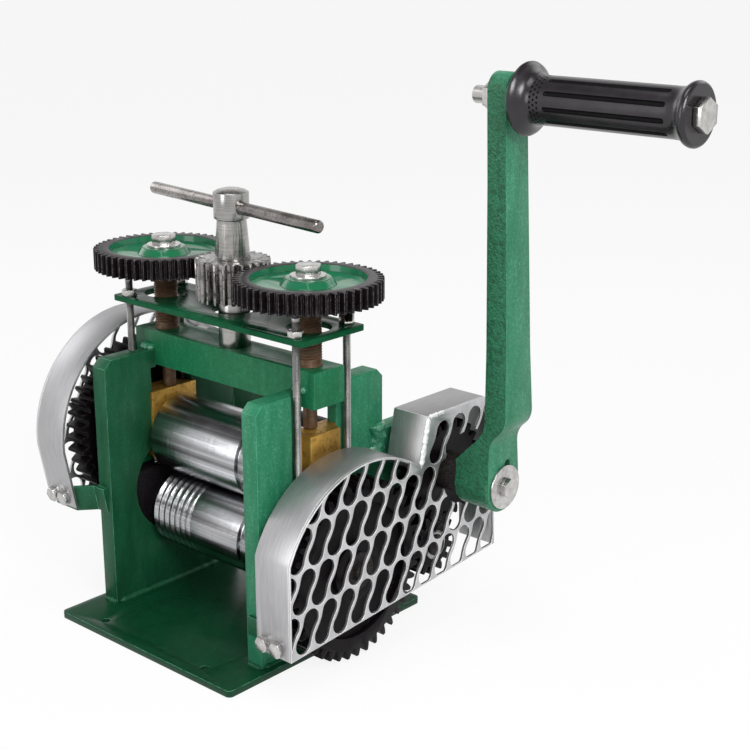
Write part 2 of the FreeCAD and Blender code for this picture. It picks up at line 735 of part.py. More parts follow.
def grip_bolt():
    """The head stands just clear of the grip, which turns freely on the bolt."""
    y, z = grip_centre()
    seat = grip_end + 0.3
    body = bolt(grip_head, grip_head_thick, grip_bolt_radius, seat - grip_thread)
    return aimed(body, Vector(seat, y, z), Vector(1, 0, 0))


def grip_nut():
    y, z = grip_centre()
    nut = hexagon(grip_nut_flats, 0, grip_nut_thick)
    nut = nut.cut(rod_along_z(grip_bolt_radius + 0.02, -1, grip_nut_thick + 1))
    return aimed(nut, Vector(arm_inner, y, z), Vector(-1, 0, 0))


def grip():
    """Rubber grip: a bell flange at the arm, a barrel, and a smaller outer flange."""
    y, z = grip_centre()
    profile = [(grip_start, grip_flange - 3.5), (grip_start + 2, grip_flange),
               (grip_start + 5, grip_flange - 0.6), (grip_start + 11, grip_flange - 5),
               (grip_start + 19, grip_barrel), (grip_end - 20, grip_barrel),
               (grip_end - 12, grip_barrel + 1.2), (grip_end - 6, grip_end_flange - 0.5),
               (grip_end - 2, grip_end_flange), (grip_end, grip_end_flange - 1.5)]
    return along_x(turned(profile, grip_bolt_radius + 0.1), y, z)


# ---- guards ----

def arc_height(y, radius):
    """Height of the right guard's arc at a distance y along the mill."""
    return guard_arc_z + math.sqrt(radius ** 2 - (y - guard_arc_y) ** 2)


def line(start, end):
    return Part.LineSegment(Vector(0, start[0], start[1]), Vector(0, end[0], end[1])).toShape()


def arc(start, middle, end):
    points = [Vector(0, y, z) for y, z in (start, middle, end)]
    return Part.Arc(*points).toShape()


def prism_of(edges, x0, x1):
    face = Part.Face(Part.Wire(edges))
    return face.extrude(Vector(x1 - x0, 0, 0)).translated(Vector(x0, 0, 0))


def arc_foot(low, high, radius):
    """Where the line down from high through low meets the arc over the lower gear."""
    length = math.dist(low, high)
    unit_y, unit_z = (low[0] - high[0]) / length, (low[1] - high[1]) / length
    away_y, away_z = high[0] - guard_arc_y, high[1] - guard_arc_z
    along = away_y * unit_y + away_z * unit_z
    reach = -along - math.sqrt(along ** 2 - away_y ** 2 - away_z ** 2 + radius ** 2)
    return (high[0] + unit_y * reach, high[1] + unit_z * reach)


def at_height(start, end, height):
    """Point at a height on the line through two (y, z) points."""
    share = (height - start[1]) / (end[1] - start[1])
    return (start[0] + (end[0] - start[0]) * share, height)


def right_outline(inset, drop):
    """Outline of the right guard: upright front, arc over the gear, box over the shaft."""
    radius, front = guard_arc_radius - inset, guard_front + inset
    wall = offset_path(guard_box, -inset)
    step = arc_foot(wall[0], wall[1], radius)
    foot = at_height(wall[3], wall[4], guard_box[4][1] - drop)
    corners = [step] + wall[1:4] + [foot, (front, guard_front_low - drop)]
    corners.append((front, arc_height(front, radius)))
    edges = [line(start, end) for start, end in zip(corners, corners[1:])]
    return edges + [arc(corners[-1], (guard_arc_y, guard_arc_z + radius), step)]


def left_outline(inset, drop):
    """Outline of the left guard: arc over the gear, straight fall to the shaft, rear arc."""
    big, small = left_arc_radius - inset, left_rear_radius - inset
    span = math.dist((0, left_arc_z), crank_centre)
    toward = math.atan2(crank_z - left_arc_z, crank_y)
    normal = toward + math.acos((big - small) / span)
    kink_y = -math.sqrt(big ** 2 - (left_kink_z - left_arc_z) ** 2)
    slope = (left_end_y - kink_y + inset) / (left_kink_z - left_end_z)
    low = left_end_z - drop
    corners = [(kink_y + slope * (left_kink_z - low), low), (kink_y, left_kink_z),
               (big * math.cos(normal), left_arc_z + big * math.sin(normal)),
               (crank_y + small * math.cos(normal), crank_z + small * math.sin(normal))]
    turn = math.radians(left_rear_turn)
    corners.append((crank_y + small * math.cos(turn), crank_z + small * math.sin(turn)))
    corners.append((corners[4][0], low))
    edges = [line(corners[0], corners[1]), arc(corners[1], (0, left_arc_z + big), corners[2]),
             line(corners[2], corners[3]), arc(corners[3], (crank_y + small, crank_z), corners[4])]
    if math.dist(corners[4], corners[5]) > 0.01:
        edges.append(line(corners[4], corners[5]))
    return edges + [line(corners[5], corners[0])]


def peanut(lobe_y, lobe_z, x0, x1):
    """One hole, two round lobes joined by a waist, all in tangent arcs, as a cutting tool."""
    half = math.hypot(*lobe_step) / 2
    waist = (half ** 2 + neck_half ** 2 - lobe_radius ** 2) / (2 * (lobe_radius - neck_half))
    share = lobe_radius / (lobe_radius + waist)
    along, aside = half * (1 - share), (neck_half + waist) * share
    tip = half + lobe_radius
    edges = [arc((along, -aside), (tip, 0.0), (along, aside)),
             arc((along, aside), (0.0, neck_half), (-along, aside)),
             arc((-along, aside), (-tip, 0.0), (-along, -aside)),
             arc((-along, -aside), (0.0, -neck_half), (along, -aside))]
    hole = prism_of(edges, x0, x1)
    hole.rotate(Vector(0, 0, 0), Vector(1, 0, 0), math.degrees(math.atan2(lobe_step[1], lobe_step[0])))
    return hole.translated(Vector(0, lobe_y + lobe_step[0] / 2, lobe_z + lobe_step[1] / 2))


def perforation(x0, x1):
    """All the holes of a guard face, as cutting tools."""
    tools = []
    for row in range(-3, 6):
        for column in range(-10, 11):
            y = hole_start[0] + column * hole_step_along[0] + row * hole_step_up[0]
            z = hole_start[1] + column * hole_step_along[1] + row * hole_step_up[1]
            tools.append(peanut(y, z, x0, x1))
    return tools


def perforated(face_solid, field, x0, x1):
    """Cut the holes that touch the field, which keeps a plain margin at the edges."""
    cutters = []
    for tool in perforation(x0 - 1, x1 + 1):
        kept = tool.common(field)
        if kept.Volume > smallest_hole(kept, x1 - x0 + 2):
            cutters.append(kept)
    return face_solid.cut(Part.makeCompound(cutters))


def smallest_hole(kept, depth):
    """Remnants of holes are left out: slivers everywhere, and larger ones by the box over the shaft."""
    middle = kept.BoundBox.Center
    by_box = middle.y > guard_box[0][0] and middle.z > guard_box[0][1]
    return depth * (box_hole_area if by_box else least_hole_area)


def right_guard_band():
    outer = prism_of(right_outline(0, 0), guard_inner, right_guard_face - sheet)
    inner = prism_of(right_outline(sheet, 20), guard_inner - 1, right_guard_face)
    band = outer.cut(inner)
    return drilled(band, right_guard_bolt_places() + right_rear_bolt_places())


def right_guard_face_sheet():
    """The window for the crank boss cuts through the holes round it and leaves open hooks."""
    x0, x1 = right_guard_face - sheet, right_guard_face
    face = prism_of(right_outline(0, 0), x0, x1)
    field = prism_of(right_outline(hole_margin, -hole_margin), x0 - 2, x1 + 2)
    face = perforated(face, field, x0, x1)
    face = face.cut(rod_along_x(boss_window, x0 - 1, x1 + 1, boss_window_y, boss_window_z))
    return max(face.Solids, key=lambda solid: solid.Volume)


def left_guard_band():
    outer = prism_of(left_outline(0, 0), guard_inner, left_guard_face - sheet)
    inner = prism_of(left_outline(sheet, 20), guard_inner - 1, left_guard_face)
    band = mirrored(outer.cut(inner))
    return drilled(band, left_guard_bolt_places() + left_rear_bolt_places())


def left_guard_face_sheet():
    x0, x1 = left_guard_face - sheet, left_guard_face
    face = prism_of(left_outline(0, 0), x0, x1)
    field = prism_of(left_outline(hole_margin, -hole_margin), x0 - 2, x1 + 2)
    return mirrored(perforated(face, field, x0, x1))


def offset_path(points, distance):
    """Offset an open path of (x, y) points to its left, with mitred corners."""
    result = []
    for i, point in enumerate(points):
        before = points[max(i - 1, 0)]
        after = points[min(i + 1, len(points) - 1)]
        normals = []
        for start, end in ((before, point), (point, after)):
            length = math.dist(start, end)
            if length > 0:
                normals.append(((start[1] - end[1]) / length, (end[0] - start[0]) / length))
        x = sum(normal[0] for normal in normals) / len(normals)
        y = sum(normal[1] for normal in normals) / len(normals)
        grow = distance / (x * x + y * y)
        result.append((point[0] + x * grow, point[1] + y * grow))
    return result


def bent_strap(path, z0, z1, shift=0.0):
    """Flat bar bent along a path in the XY plane; shift leans it along Y over its height."""
    outline = path + list(reversed(offset_path(path, strap_sheet)))
    corners = [Vector(x, y, z0) for x, y in outline]
    face = Part.Face(Part.makePolygon(corners + corners[:1]))
    return face.extrude(Vector(0, shift, z1 - z0))


def drilled(piece, places):
    for place, direction in places:
        piece = piece.cut(aimed(rod_along_z(3.02, -12, 5), place, direction))
    return piece


def wall_slope(low, high):
    """Lean of a wall along Y for each millimetre of height."""
    return (high[0] - low[0]) / (high[1] - low[1])


def left_kink():
    return (-math.sqrt(left_arc_radius ** 2 - (left_kink_z - left_arc_z) ** 2), left_kink_z)


def wall_bolts(low, high, outward, height, x_places):
    """Bolt places square to a leaning wall; outward is 1 for a rear wall and -1 for a front one."""
    slope = wall_slope(low, high)
    y = at_height(low, high, height)[0]
    return [(Vector(x, y, height), Vector(0, outward, -outward * slope)) for x in x_places]


def right_guard_bolt_places():
    return [(Vector(x, guard_front, right_bolt_z), Vector(0, -1, 0)) for x in (102.0, 115.5)]


def right_rear_bolt_places():
    return wall_bolts(guard_box[4], guard_box[3], 1, rear_bolt_z, (104.0, 117.0))


def left_guard_bolt_places():
    return wall_bolts((left_end_y, left_end_z), left_kink(), -1, left_bolt_z, (-106.0, -119.0))


def right_guard_strap():
    inner = guard_front + sheet
    foot = -frame_half_y - strap_sheet
    path = [(frame_outer - 10, foot), (frame_outer + 1, foot),
            (guard_inner - 1.5, inner), (right_guard_face - 6, inner)]
    return drilled(bent_strap(path, right_strap_low, right_strap_high), right_guard_bolt_places())


def leaning_strap(path, low, high, slope):
    """Strap that leans with its guard wall, and stands upright where it meets the frame."""
    strap = bent_strap(path, low, high, slope * (high - low))
    return strap.fuse(bent_strap(path[2:], low, high))


def right_guard_rear_strap():
    low, high = rear_strap_low, rear_strap_high
    slope = wall_slope(guard_box[4], guard_box[3])
    inner = at_height(guard_box[4], guard_box[3], low)[0] - sheet * math.hypot(1, slope)
    path = [(right_guard_face - 6, inner), (guard_inner + 1, inner),
            (frame_outer + 1, arm_rear + strap_sheet), (frame_inner + 2, arm_rear + strap_sheet)]
    strap = leaning_strap(path, low, high, slope)
    strap = strap.cut(box(0, frame_outer, 0, arm_rear, 0, 200))
    return drilled(strap.removeSplitter(), right_rear_bolt_places())


def left_guard_strap():
    low, high = left_strap_low, left_strap_high
    corner = (left_end_y, left_end_z)
    slope = wall_slope(corner, left_kink())
    inner = at_height(corner, left_kink(), low)[0] + sheet * math.hypot(1, slope)
    path = [(4 - left_guard_face, inner), (-guard_inner - 3, inner),
            (-frame_outer - 1, -frame_half_y - 1), (-frame_outer + 10, -frame_half_y - 1)]
    strap = leaning_strap(path, low, high, slope)
    strap = strap.cut(box(-frame_outer, 0, -frame_half_y, 0, 0, 200))
    return drilled(strap.removeSplitter(), left_guard_bolt_places())


def left_guard_rear_strap():
    inner = crank_y + left_rear_radius - sheet
    path = [(-frame_inner - 2, arm_rear + strap_sheet), (-frame_outer - 1, arm_rear + strap_sheet),
            (-guard_inner - 1, inner), (4 - left_guard_face, inner)]
    strap = bent_strap(path, 109, 125)
    within = mirrored(prism_of(left_outline(sheet, 0), frame_inner, left_guard_face))
    return drilled(strap.common(within), left_rear_bolt_places())


def left_rear_bolt_places():
    rear = crank_y + left_rear_radius
    return [(Vector(x, rear, crank_z), Vector(0, 1, 0)) for x in (-104.0, -116.0)]


def nutted_places():
    return right_guard_bolt_places() + right_rear_bolt_places() + left_guard_bolt_places()


def guard_bolts():
    """Hex bolts of the guards; the two at the left rear screw into their strap."""
    bolts = [aimed(bolt(10.0, 4.0, 3.0, 11.0), place, direction)
             for place, direction in nutted_places()]
    return bolts + [aimed(bolt(10.0, 4.0, 3.0, sheet + strap_sheet), place, direction)
                    for place, direction in left_rear_bolt_places()]


def guard_nuts():
    nut = hexagon(10.0, 0, 4.0).cut(rod_along_z(3.02, -1, 5))
    nuts = []
    for place, direction in nutted_places():
        back = direction.normalize() * -1
        seat = place + back * (sheet + strap_sheet)
        nuts.append(aimed(nut, seat, back))
    return nuts


def build():
    os.makedirs("parts", exist_ok=True)

    save("base_plate", base_plate())
    save("right_side_plate", side_plate())
    save("left_side_plate", mirrored(side_plate()))
    save("right_lower_carrier", lower_carrier())
    save("left_lower_carrier", mirrored(lower_carrier()))
    save("carrier_screws", *carrier_screws())
    save("lower_bushes", lower_bush(), mirrored(lower_bush()))
    save("top_beam", top_beam())
    save("spindle_bush", spindle_bush())
    save("right_rear_arm", right_rear_arm())
    save("left_rear_arm", left_rear_arm())
    save("shaft_bushes", shaft_bush(), mirrored(shaft_bush()))
    save("idler_stud", idler_stud())
    save("idler_circlip", idler_circlip())
    save("right_guard_band", right_guard_band())
    save("right_guard_face", right_guard_face_sheet())
    save("left_guard_band", left_guard_band())
    save("left_guard_face", left_guard_face_sheet())
    save("right_guard_strap", right_guard_strap())
    save("left_guard_strap", left_guard_strap())
    save("guard_rear_straps", right_guard_rear_strap(), left_guard_rear_strap())
    save("guard_bolts", *guard_bolts())
    save("guard_nuts", *guard_nuts())

    save("crank_shaft", crank_shaft())
    save("crank_gear", crank_gear())
    save("left_drive_pinion", left_drive_pinion())
    save("crank_keys", gear_key(crank_centre), mirrored(gear_key(crank_centre)), boss_key())
    save("crank_spacer", crank_spacer())
    save("pinion_fixings", mirrored(end_washer(crank_centre)), mirrored(end_screw(crank_centre)))
    save("crank_arm", crank_arm())
    save("crank_fixings", crank_washer(), crank_bolt())
    save("grip_bolt", grip_bolt())
    save("grip_nut", grip_nut())
    save("grip", grip())
    idler = small_drive_gear(idler_teeth, idler_phase, idler_centre, idler_stud_radius + running_gap)
    save("idler_gear", idler)

    save("lower_roller", lower_roller())
    save("lower_gear", roller_gear(lower_phase, lower_centre))
    save("lower_gear_fixings", gear_key(lower_centre), end_washer(lower_centre),
         end_screw(lower_centre))
    save("upper_roller", upper_roller())
    save("upper_gear", mirrored(roller_gear(upper_phase, upper_centre)))
    save("upper_gear_fixings", mirrored(gear_key(upper_centre)), mirrored(end_washer(upper_centre)),
         mirrored(end_screw(upper_centre)))
    save("thrust_washers", thrust_washer(), mirrored(thrust_washer()))

    save("right_upper_block", upper_block())
    save("left_upper_block", mirrored(upper_block()))
    save("return_springs", *return_springs())
    save("lift_straps", lift_strap(), mirrored(lift_strap()))
    save("lift_rods", *lift_rods())
    save("rod_nuts", *rod_nuts())
    save("top_plate", top_plate())

    for side, x, toward in (("right", screw_x, 0), ("left", -screw_x, 180)):
        phase = meshed_phase(0, spindle_teeth, lift_teeth, toward)
        save(side + "_screw", screw(x))
        save(side + "_lift_gear", lift_gear(x, phase))
        save(side + "_screw_fixings", screw_washer(x), screw_bolt(x))
    save("spindle", spindle())
    save("spindle_fixings", spindle_key(), spindle_circlip())
    save("spindle_pinion", spindle_pinion())
    save("handle_hub", handle_hub())
    save("cross_bar", cross_bar())


build()
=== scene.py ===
import json
import math
import random
import bpy
from mathutils import Matrix, Vector


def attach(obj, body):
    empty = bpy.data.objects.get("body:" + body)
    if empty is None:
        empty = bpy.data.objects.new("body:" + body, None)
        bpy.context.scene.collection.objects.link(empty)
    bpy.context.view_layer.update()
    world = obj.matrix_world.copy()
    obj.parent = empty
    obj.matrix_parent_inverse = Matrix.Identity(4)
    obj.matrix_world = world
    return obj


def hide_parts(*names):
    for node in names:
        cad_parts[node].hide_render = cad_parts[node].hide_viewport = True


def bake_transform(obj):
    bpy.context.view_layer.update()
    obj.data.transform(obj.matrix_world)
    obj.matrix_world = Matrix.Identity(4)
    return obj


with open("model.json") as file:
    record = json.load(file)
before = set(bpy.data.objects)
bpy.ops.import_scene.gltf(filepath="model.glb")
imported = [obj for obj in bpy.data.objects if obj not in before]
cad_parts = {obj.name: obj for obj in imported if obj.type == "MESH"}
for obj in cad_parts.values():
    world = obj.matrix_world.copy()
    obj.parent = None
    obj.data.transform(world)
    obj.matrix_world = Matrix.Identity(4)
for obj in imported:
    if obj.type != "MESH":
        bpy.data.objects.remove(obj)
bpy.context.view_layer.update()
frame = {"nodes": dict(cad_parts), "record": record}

mm = 0.001
bodyOfNode = {node: body for body, nodes in frame["record"]["behaviour"]["bodies"].items() for node in nodes}
slotOfNode = {part["node"]: part["material_slot"] for part in frame["record"]["subparts"]}
bpy.ops.object.select_all(action="DESELECT")


# a socket that takes part in sums, and the tree that it belongs to

class Wire:
    def __init__(self, wiring, socket):
        self.wiring = wiring
        self.socket = socket

    def __add__(self, other):
        return self.wiring.maths("ADD", self, other)

    def __sub__(self, other):
        return self.wiring.maths("SUBTRACT", self, other)

    def __rsub__(self, other):
        return self.wiring.maths("SUBTRACT", other, self)

    def __mul__(self, other):
        return self.wiring.maths("MULTIPLY", self, other)

    def __pow__(self, other):
        return self.wiring.maths("POWER", self, other)

    def __gt__(self, other):
        return self.wiring.maths("GREATER_THAN", self, other)

    def __lt__(self, other):
        return self.wiring.maths("LESS_THAN", self, other)

    __radd__ = __add__
    __rmul__ = __mul__


class Wiring:
    def __init__(self, tree):
        self.tree = tree
        self.tree.nodes.clear()

    def node(self, kind, settings=None, sockets=None, output=0):
        made = self.tree.nodes.new("ShaderNode" + kind)
        for name, value in (settings or {}).items():
            setattr(made, name, value)
        for name, value in (sockets or {}).items():
            if isinstance(value, Wire):
                self.tree.links.new(value.socket, made.inputs[name])
            else:
                made.inputs[name].default_value = value
        return Wire(self, made.outputs[output]) if len(made.outputs) else made

    def maths(self, operation, *values):
        return self.node("Math", {"operation": operation}, dict(enumerate(values)))

    def seen(self):
        # 1 for what the camera sees, straight on or in metal and glass
        camera, glossy, transmission = [self.node("LightPath", output=name) for name in
                                        ("Is Camera Ray", "Is Glossy Ray", "Is Transmission Ray")]
        return self.maths("MINIMUM", camera + glossy + transmission, 1.0)


class Finish(Wiring):
    def __init__(self, name):
        self.material = bpy.data.materials.new(name)
        self.material.use_nodes = True
        super().__init__(self.material.node_tree)
        self.place = self.node("TexCoord", output="Object")

    def noise(self, scale, detail=3.0, roughness=0.5, place=None, distortion=0.0):
        return self.node("TexNoise", None, {"Vector": place or self.place, "Scale": scale, "Detail": detail,
                                            "Roughness": roughness, "Distortion": distortion})

    def streaks(self, scale, detail=3.0, roughness=0.6):
        stretched = self.node("Mapping", None, {"Vector": self.place, "Scale": scale})
        return self.noise(1.0, detail, roughness, stretched)

    def axis(self, name):
        return self.node("SeparateXYZ", None, {0: self.place}, output=name)

    def ramp(self, value, low, high):
        return self.node("MapRange", {"clamp": True}, {0: value, 1: low, 2: high})

    def blend(self, factor, first, second):
        return self.node("Mix", {"data_type": "RGBA"}, {0: factor, 6: first, 7: second}, output=2)

    def bump(self, height, depth):
        return self.node("Bump", None, {"Height": height, "Distance": depth, "Strength": 1.0})

    def surface(self, **values):
        sockets = {name.replace("_", " "): value for name, value in values.items()}
        shader = self.node("BsdfPrincipled", None, sockets)
        self.node("OutputMaterial", None, {"Surface": shader})
        return self.material


def rgb(red, green, blue):
    return (red, green, blue, 1.0)


def grey(level):
    return (level, level, level, 1.0)


# green paint: the same enamel brushed thin, laid on thick and hammered, or sprayed glossy;
# the plate and base tones are darker copies of it, painted shade on the left plate and the base
greens = {
    "plateDeep": rgb(0.006, 0.058, 0.024),
    "plateMain": rgb(0.011, 0.090, 0.040),
    "plateFleck": rgb(0.04, 0.20, 0.11),
    "hammerDeep": rgb(0.014, 0.150, 0.072),
    "hammerMain": rgb(0.030, 0.205, 0.108),
    "hammerFleck": rgb(0.10, 0.36, 0.22),
    # painted shade: the side green darkens the sides that face along Y
    "hammerSide": rgb(0.012, 0.110, 0.050),
    "beamDeep": rgb(0.006, 0.105, 0.042),
    "beamMain": rgb(0.011, 0.150, 0.062),
    "beamFleck": rgb(0.04, 0.24, 0.12),
    "baseDeep": rgb(0.002, 0.034, 0.013),
    "baseMain": rgb(0.004, 0.048, 0.019),
    "baseFleck": rgb(0.02, 0.11, 0.05),
    "glossDeep": rgb(0.004, 0.060, 0.023),
    "glossMain": rgb(0.008, 0.100, 0.042),
    "glossFleck": rgb(0.03, 0.17, 0.09),
}
paintScale = {"broad": 16.0, "grain": 560.0, "cells": 520.0, "brush": (140.0, 140.0, 26.0), "dust": 1500.0,
              "gloss": 70.0, "pits": 300.0, "wear": 160.0}


def paintFinish(name, tone, fleck, peel, roughness, speckle=0.0, specular=0.2, paintedSideShade=0.0):
    # fleck is how much of the crest colour shows, peel the depth of the ripple in the film, speckle
    # how dusty it is, and paintedSideShade how much darker and rougher the sides are that face
    # along Y, which is painted shade
    finish = Finish(name)
    broad = finish.noise(paintScale["broad"])
    grain = finish.noise(paintScale["grain"], 4.0, 0.62, distortion=0.8)
    marks = finish.streaks(paintScale["brush"], 4.0)
    cells = finish.node("TexVoronoi", {"feature": "SMOOTH_F1"},
                        {"Vector": finish.place, "Scale": paintScale["cells"], "Smoothness": 0.7,
                         "Randomness": 1.0})
    colour = finish.blend(finish.ramp(broad * 0.5 + marks * 0.5, 0.35, 0.65), greens[tone + "Deep"],
                          greens[tone + "Main"])
    crest = finish.ramp(grain * 0.55 + marks * 0.25 + (1.0 - cells) * 0.2, 0.50, 0.66)
    colour = finish.blend(crest * fleck, colour, greens[tone + "Fleck"])
    if speckle:
        dust = finish.ramp(finish.noise(paintScale["dust"], 2.0), 0.62, 0.74)
        colour = finish.blend(dust * speckle, colour, greens[tone + "Fleck"])
    height = grain * 0.55 + cells * 0.45
    # painted shade: the sides that face along Y take the darker side green, and are pitted with darker green
    if paintedSideShade:
        facing = finish.node("SeparateXYZ", None, {0: finish.node("TexCoord", output="Normal")}, "Y")
        side = finish.ramp(finish.maths("ABSOLUTE", facing), 0.4, 0.9)
        pits = finish.ramp(finish.noise(paintScale["pits"], 4.0, 0.6), 0.46, 0.60)
        colour = finish.blend(side * paintedSideShade, colour, greens[tone + "Side"])
        colour = finish.blend(side * pits * 0.6, colour, greens["baseMain"])
        height = height * (side * 1.5 + 1.0)
    rough = finish.ramp(finish.noise(paintScale["gloss"]), 0.3, 0.7) * 0.12 + roughness
    return finish.surface(Base_Color=colour, Roughness=rough, Normal=finish.bump(height, peel),
                          Specular_IOR_Level=specular)


def wornPaintFinish(name, colour):
    # the paler line that a brush leaves along an edge
    finish = Finish(name)
    wear = finish.ramp(finish.noise(paintScale["wear"]), 0.36, 0.60)
    return finish.surface(Base_Color=finish.blend(wear, colour, greens["hammerFleck"]),
                          Roughness=wear * 0.1 + 0.34, Specular_IOR_Level=0.3,
                          Normal=finish.bump(wear, 0.0001))


def castFinish(name, dark, light, roughness):
    # black castings and fixings, dry in places and oily in others
    finish = Finish(name)
    grain = finish.noise(700.0, 4.0, 0.6)
    oil = finish.noise(40.0, 2.0)
    colour = finish.blend(finish.ramp(grain, 0.42, 0.72), dark, light)
    rough = finish.ramp(oil, 0.3, 0.7) * 0.16 + roughness
    return finish.surface(Base_Color=colour, Roughness=rough, Normal=finish.bump(grain, 0.00012),
                          Specular_IOR_Level=0.10)


liftGearPaint = {
    "centre": 0.075, "radius": 0.0407, "floor": 0.2676, "rimTop": 0.2728, "turnedLines": 2400.0,
    "black": rgb(0.003, 0.002, 0.003), "worn": rgb(0.010, 0.008, 0.009), "top": rgb(0.040, 0.034, 0.038),
}


def liftGearFinish(name, axisX):
    # black rim and teeth, glossy green paint in the dished web and on the hub
    paint = liftGearPaint
    finish = Finish(name)
    across, along, up = finish.axis("X") - axisX, finish.axis("Y"), finish.axis("Z")
    radius = (across * across + along * along) ** 0.5
    painted = (radius < paint["radius"]) * (up > paint["floor"])
    onTop = (up > paint["rimTop"]) * (radius > paint["radius"])
    grain = finish.noise(600.0, 4.0, 0.6)
    rings = finish.node("CombineXYZ", None, {0: radius * paint["turnedLines"]})
    turned = finish.noise(1.0, 3.0, 0.6, rings)
    rim = finish.blend(finish.ramp(grain, 0.4, 0.7), paint["black"], paint["worn"])
    rim = finish.blend(onTop * finish.ramp(turned * 0.5 + grain * 0.5, 0.40, 0.60), rim, paint["top"])
    green = finish.blend(finish.ramp(finish.noise(90.0), 0.35, 0.65), greens["beamMain"],
                         greens["hammerDeep"])
    return finish.surface(Base_Color=finish.blend(painted, rim, green),
                          Roughness=painted * (0.16 - 0.32) + 0.32,
                          Normal=finish.bump(grain * (1.0 - painted * 0.9), 0.0001),
                          Specular_IOR_Level=0.08, Coat_Weight=painted * 0.5, Coat_Roughness=0.12)


def aluminiumFinish(name, dark, light):
    finish = Finish(name)
    lines = finish.streaks((2600.0, 60.0, 60.0))
    across = finish.streaks((160.0, 900.0, 900.0))
    cloud = finish.noise(14.0)
    colour = finish.blend(finish.ramp(lines, 0.3, 0.7), dark, light)
    colour = finish.blend(finish.ramp(cloud, 0.4, 0.75) * 0.35, colour, rgb(0.60, 0.60, 0.62))
    rough = finish.ramp(lines, 0.2, 0.8) * 0.14 + 0.36
    return finish.surface(Base_Color=colour, Metallic=0.9, Roughness=rough,
                          Normal=finish.bump(lines * 0.7 + across * 0.3, 0.00003))


def burrFinish():
    # the bright lip that cutting leaves round each opening, made brighter still as a painted highlight
    finish = Finish("cutEdgeHighlight")
    nicks = finish.noise(500.0)
    colour = finish.blend(finish.ramp(nicks, 0.3, 0.6), rgb(0.70, 0.69, 0.69), rgb(0.95, 0.94, 0.94))
    rough = finish.ramp(nicks, 0.3, 0.7) * 0.2 + 0.3
    return finish.surface(Base_Color=colour, Metallic=0.35, Roughness=rough,
                          Normal=finish.bump(nicks, 0.00008))


def steelFinish(name, dark, light, roughness, lines, metallic=1.0, stain=None, stained=None, depth=0.00002):
    # turned or ground steel: fine lines, uneven tone and a stain where one is given
    finish = Finish(name)
    scratches = finish.streaks(lines)
    cloud = finish.noise(70.0, 4.0, 0.6)
    colour = finish.blend(finish.ramp(scratches * 0.5 + cloud * 0.5, 0.35, 0.65), dark, light)
    rough = finish.ramp(cloud, 0.3, 0.7) * 0.12 + roughness
    shine = metallic
    if stain:
        spots = finish.ramp(finish.noise(160.0, 5.0, 0.65), *stained)
        colour = finish.blend(spots, colour, stain)
        rough = rough + spots * 0.25
        shine = metallic - spots * (metallic * 0.6)
    return finish.surface(Base_Color=colour, Metallic=shine, Roughness=rough,
                          Normal=finish.bump(scratches, depth))


def rollerFinish():
    # ground round and round, so reflections spread along the roller; the dark and bright bands beside
    # its axis are painted reflection in the base colour
    finish = Finish("rollerSteel")
    grind = finish.streaks((5200.0, 8.0, 8.0))
    # painted reflection: bands beside the axis, dark and bright in the base colour
    paintedReflectionBands = finish.streaks((1.0, 80.0, 80.0), 3.0, 0.55)
    cloud = finish.noise(40.0)
    colour = finish.blend(finish.ramp(paintedReflectionBands, 0.40, 0.60), rgb(0.11, 0.105, 0.11), rgb(0.66, 0.67, 0.69))
    colour = finish.blend(finish.ramp(cloud, 0.45, 0.70) * 0.25, colour, rgb(0.40, 0.40, 0.41))
    rough = finish.ramp(cloud, 0.3, 0.7) * 0.08 + 0.14
    return finish.surface(Base_Color=colour, Metallic=1.0, Roughness=rough,
                          Normal=finish.bump(grind, 0.00008))


def bronzeFinish():
    finish = Finish("bronze")
    grain = finish.noise(300.0, 4.0, 0.6)
    cloud = finish.noise(45.0)
    cuts = finish.streaks((90.0, 90.0, 1100.0))
    colour = finish.blend(finish.ramp(cloud, 0.35, 0.65), rgb(0.30, 0.155, 0.028), rgb(0.56, 0.33, 0.065))
    colour = finish.blend(finish.ramp(grain, 0.52, 0.72) * 0.75, colour, rgb(0.075, 0.040, 0.012))
    rough = finish.ramp(grain, 0.3, 0.7) * 0.2 + 0.34
    return finish.surface(Base_Color=colour, Metallic=0.7, Roughness=rough,
                          Normal=finish.bump(grain * 0.6 + cuts * 0.4, 0.00006))


def rubberFinish():
    finish = Finish("gripRubber")
    grain = finish.noise(900.0)
    cloud = finish.ramp(finish.noise(60.0), 0.3, 0.7)
    colour = finish.blend(cloud, rgb(0.007, 0.005, 0.007), rgb(0.014, 0.011, 0.014))
    return finish.surface(Base_Color=colour, Roughness=cloud * 0.08 + 0.20,
                          Normal=finish.bump(grain, 0.00003), Specular_IOR_Level=0.5)


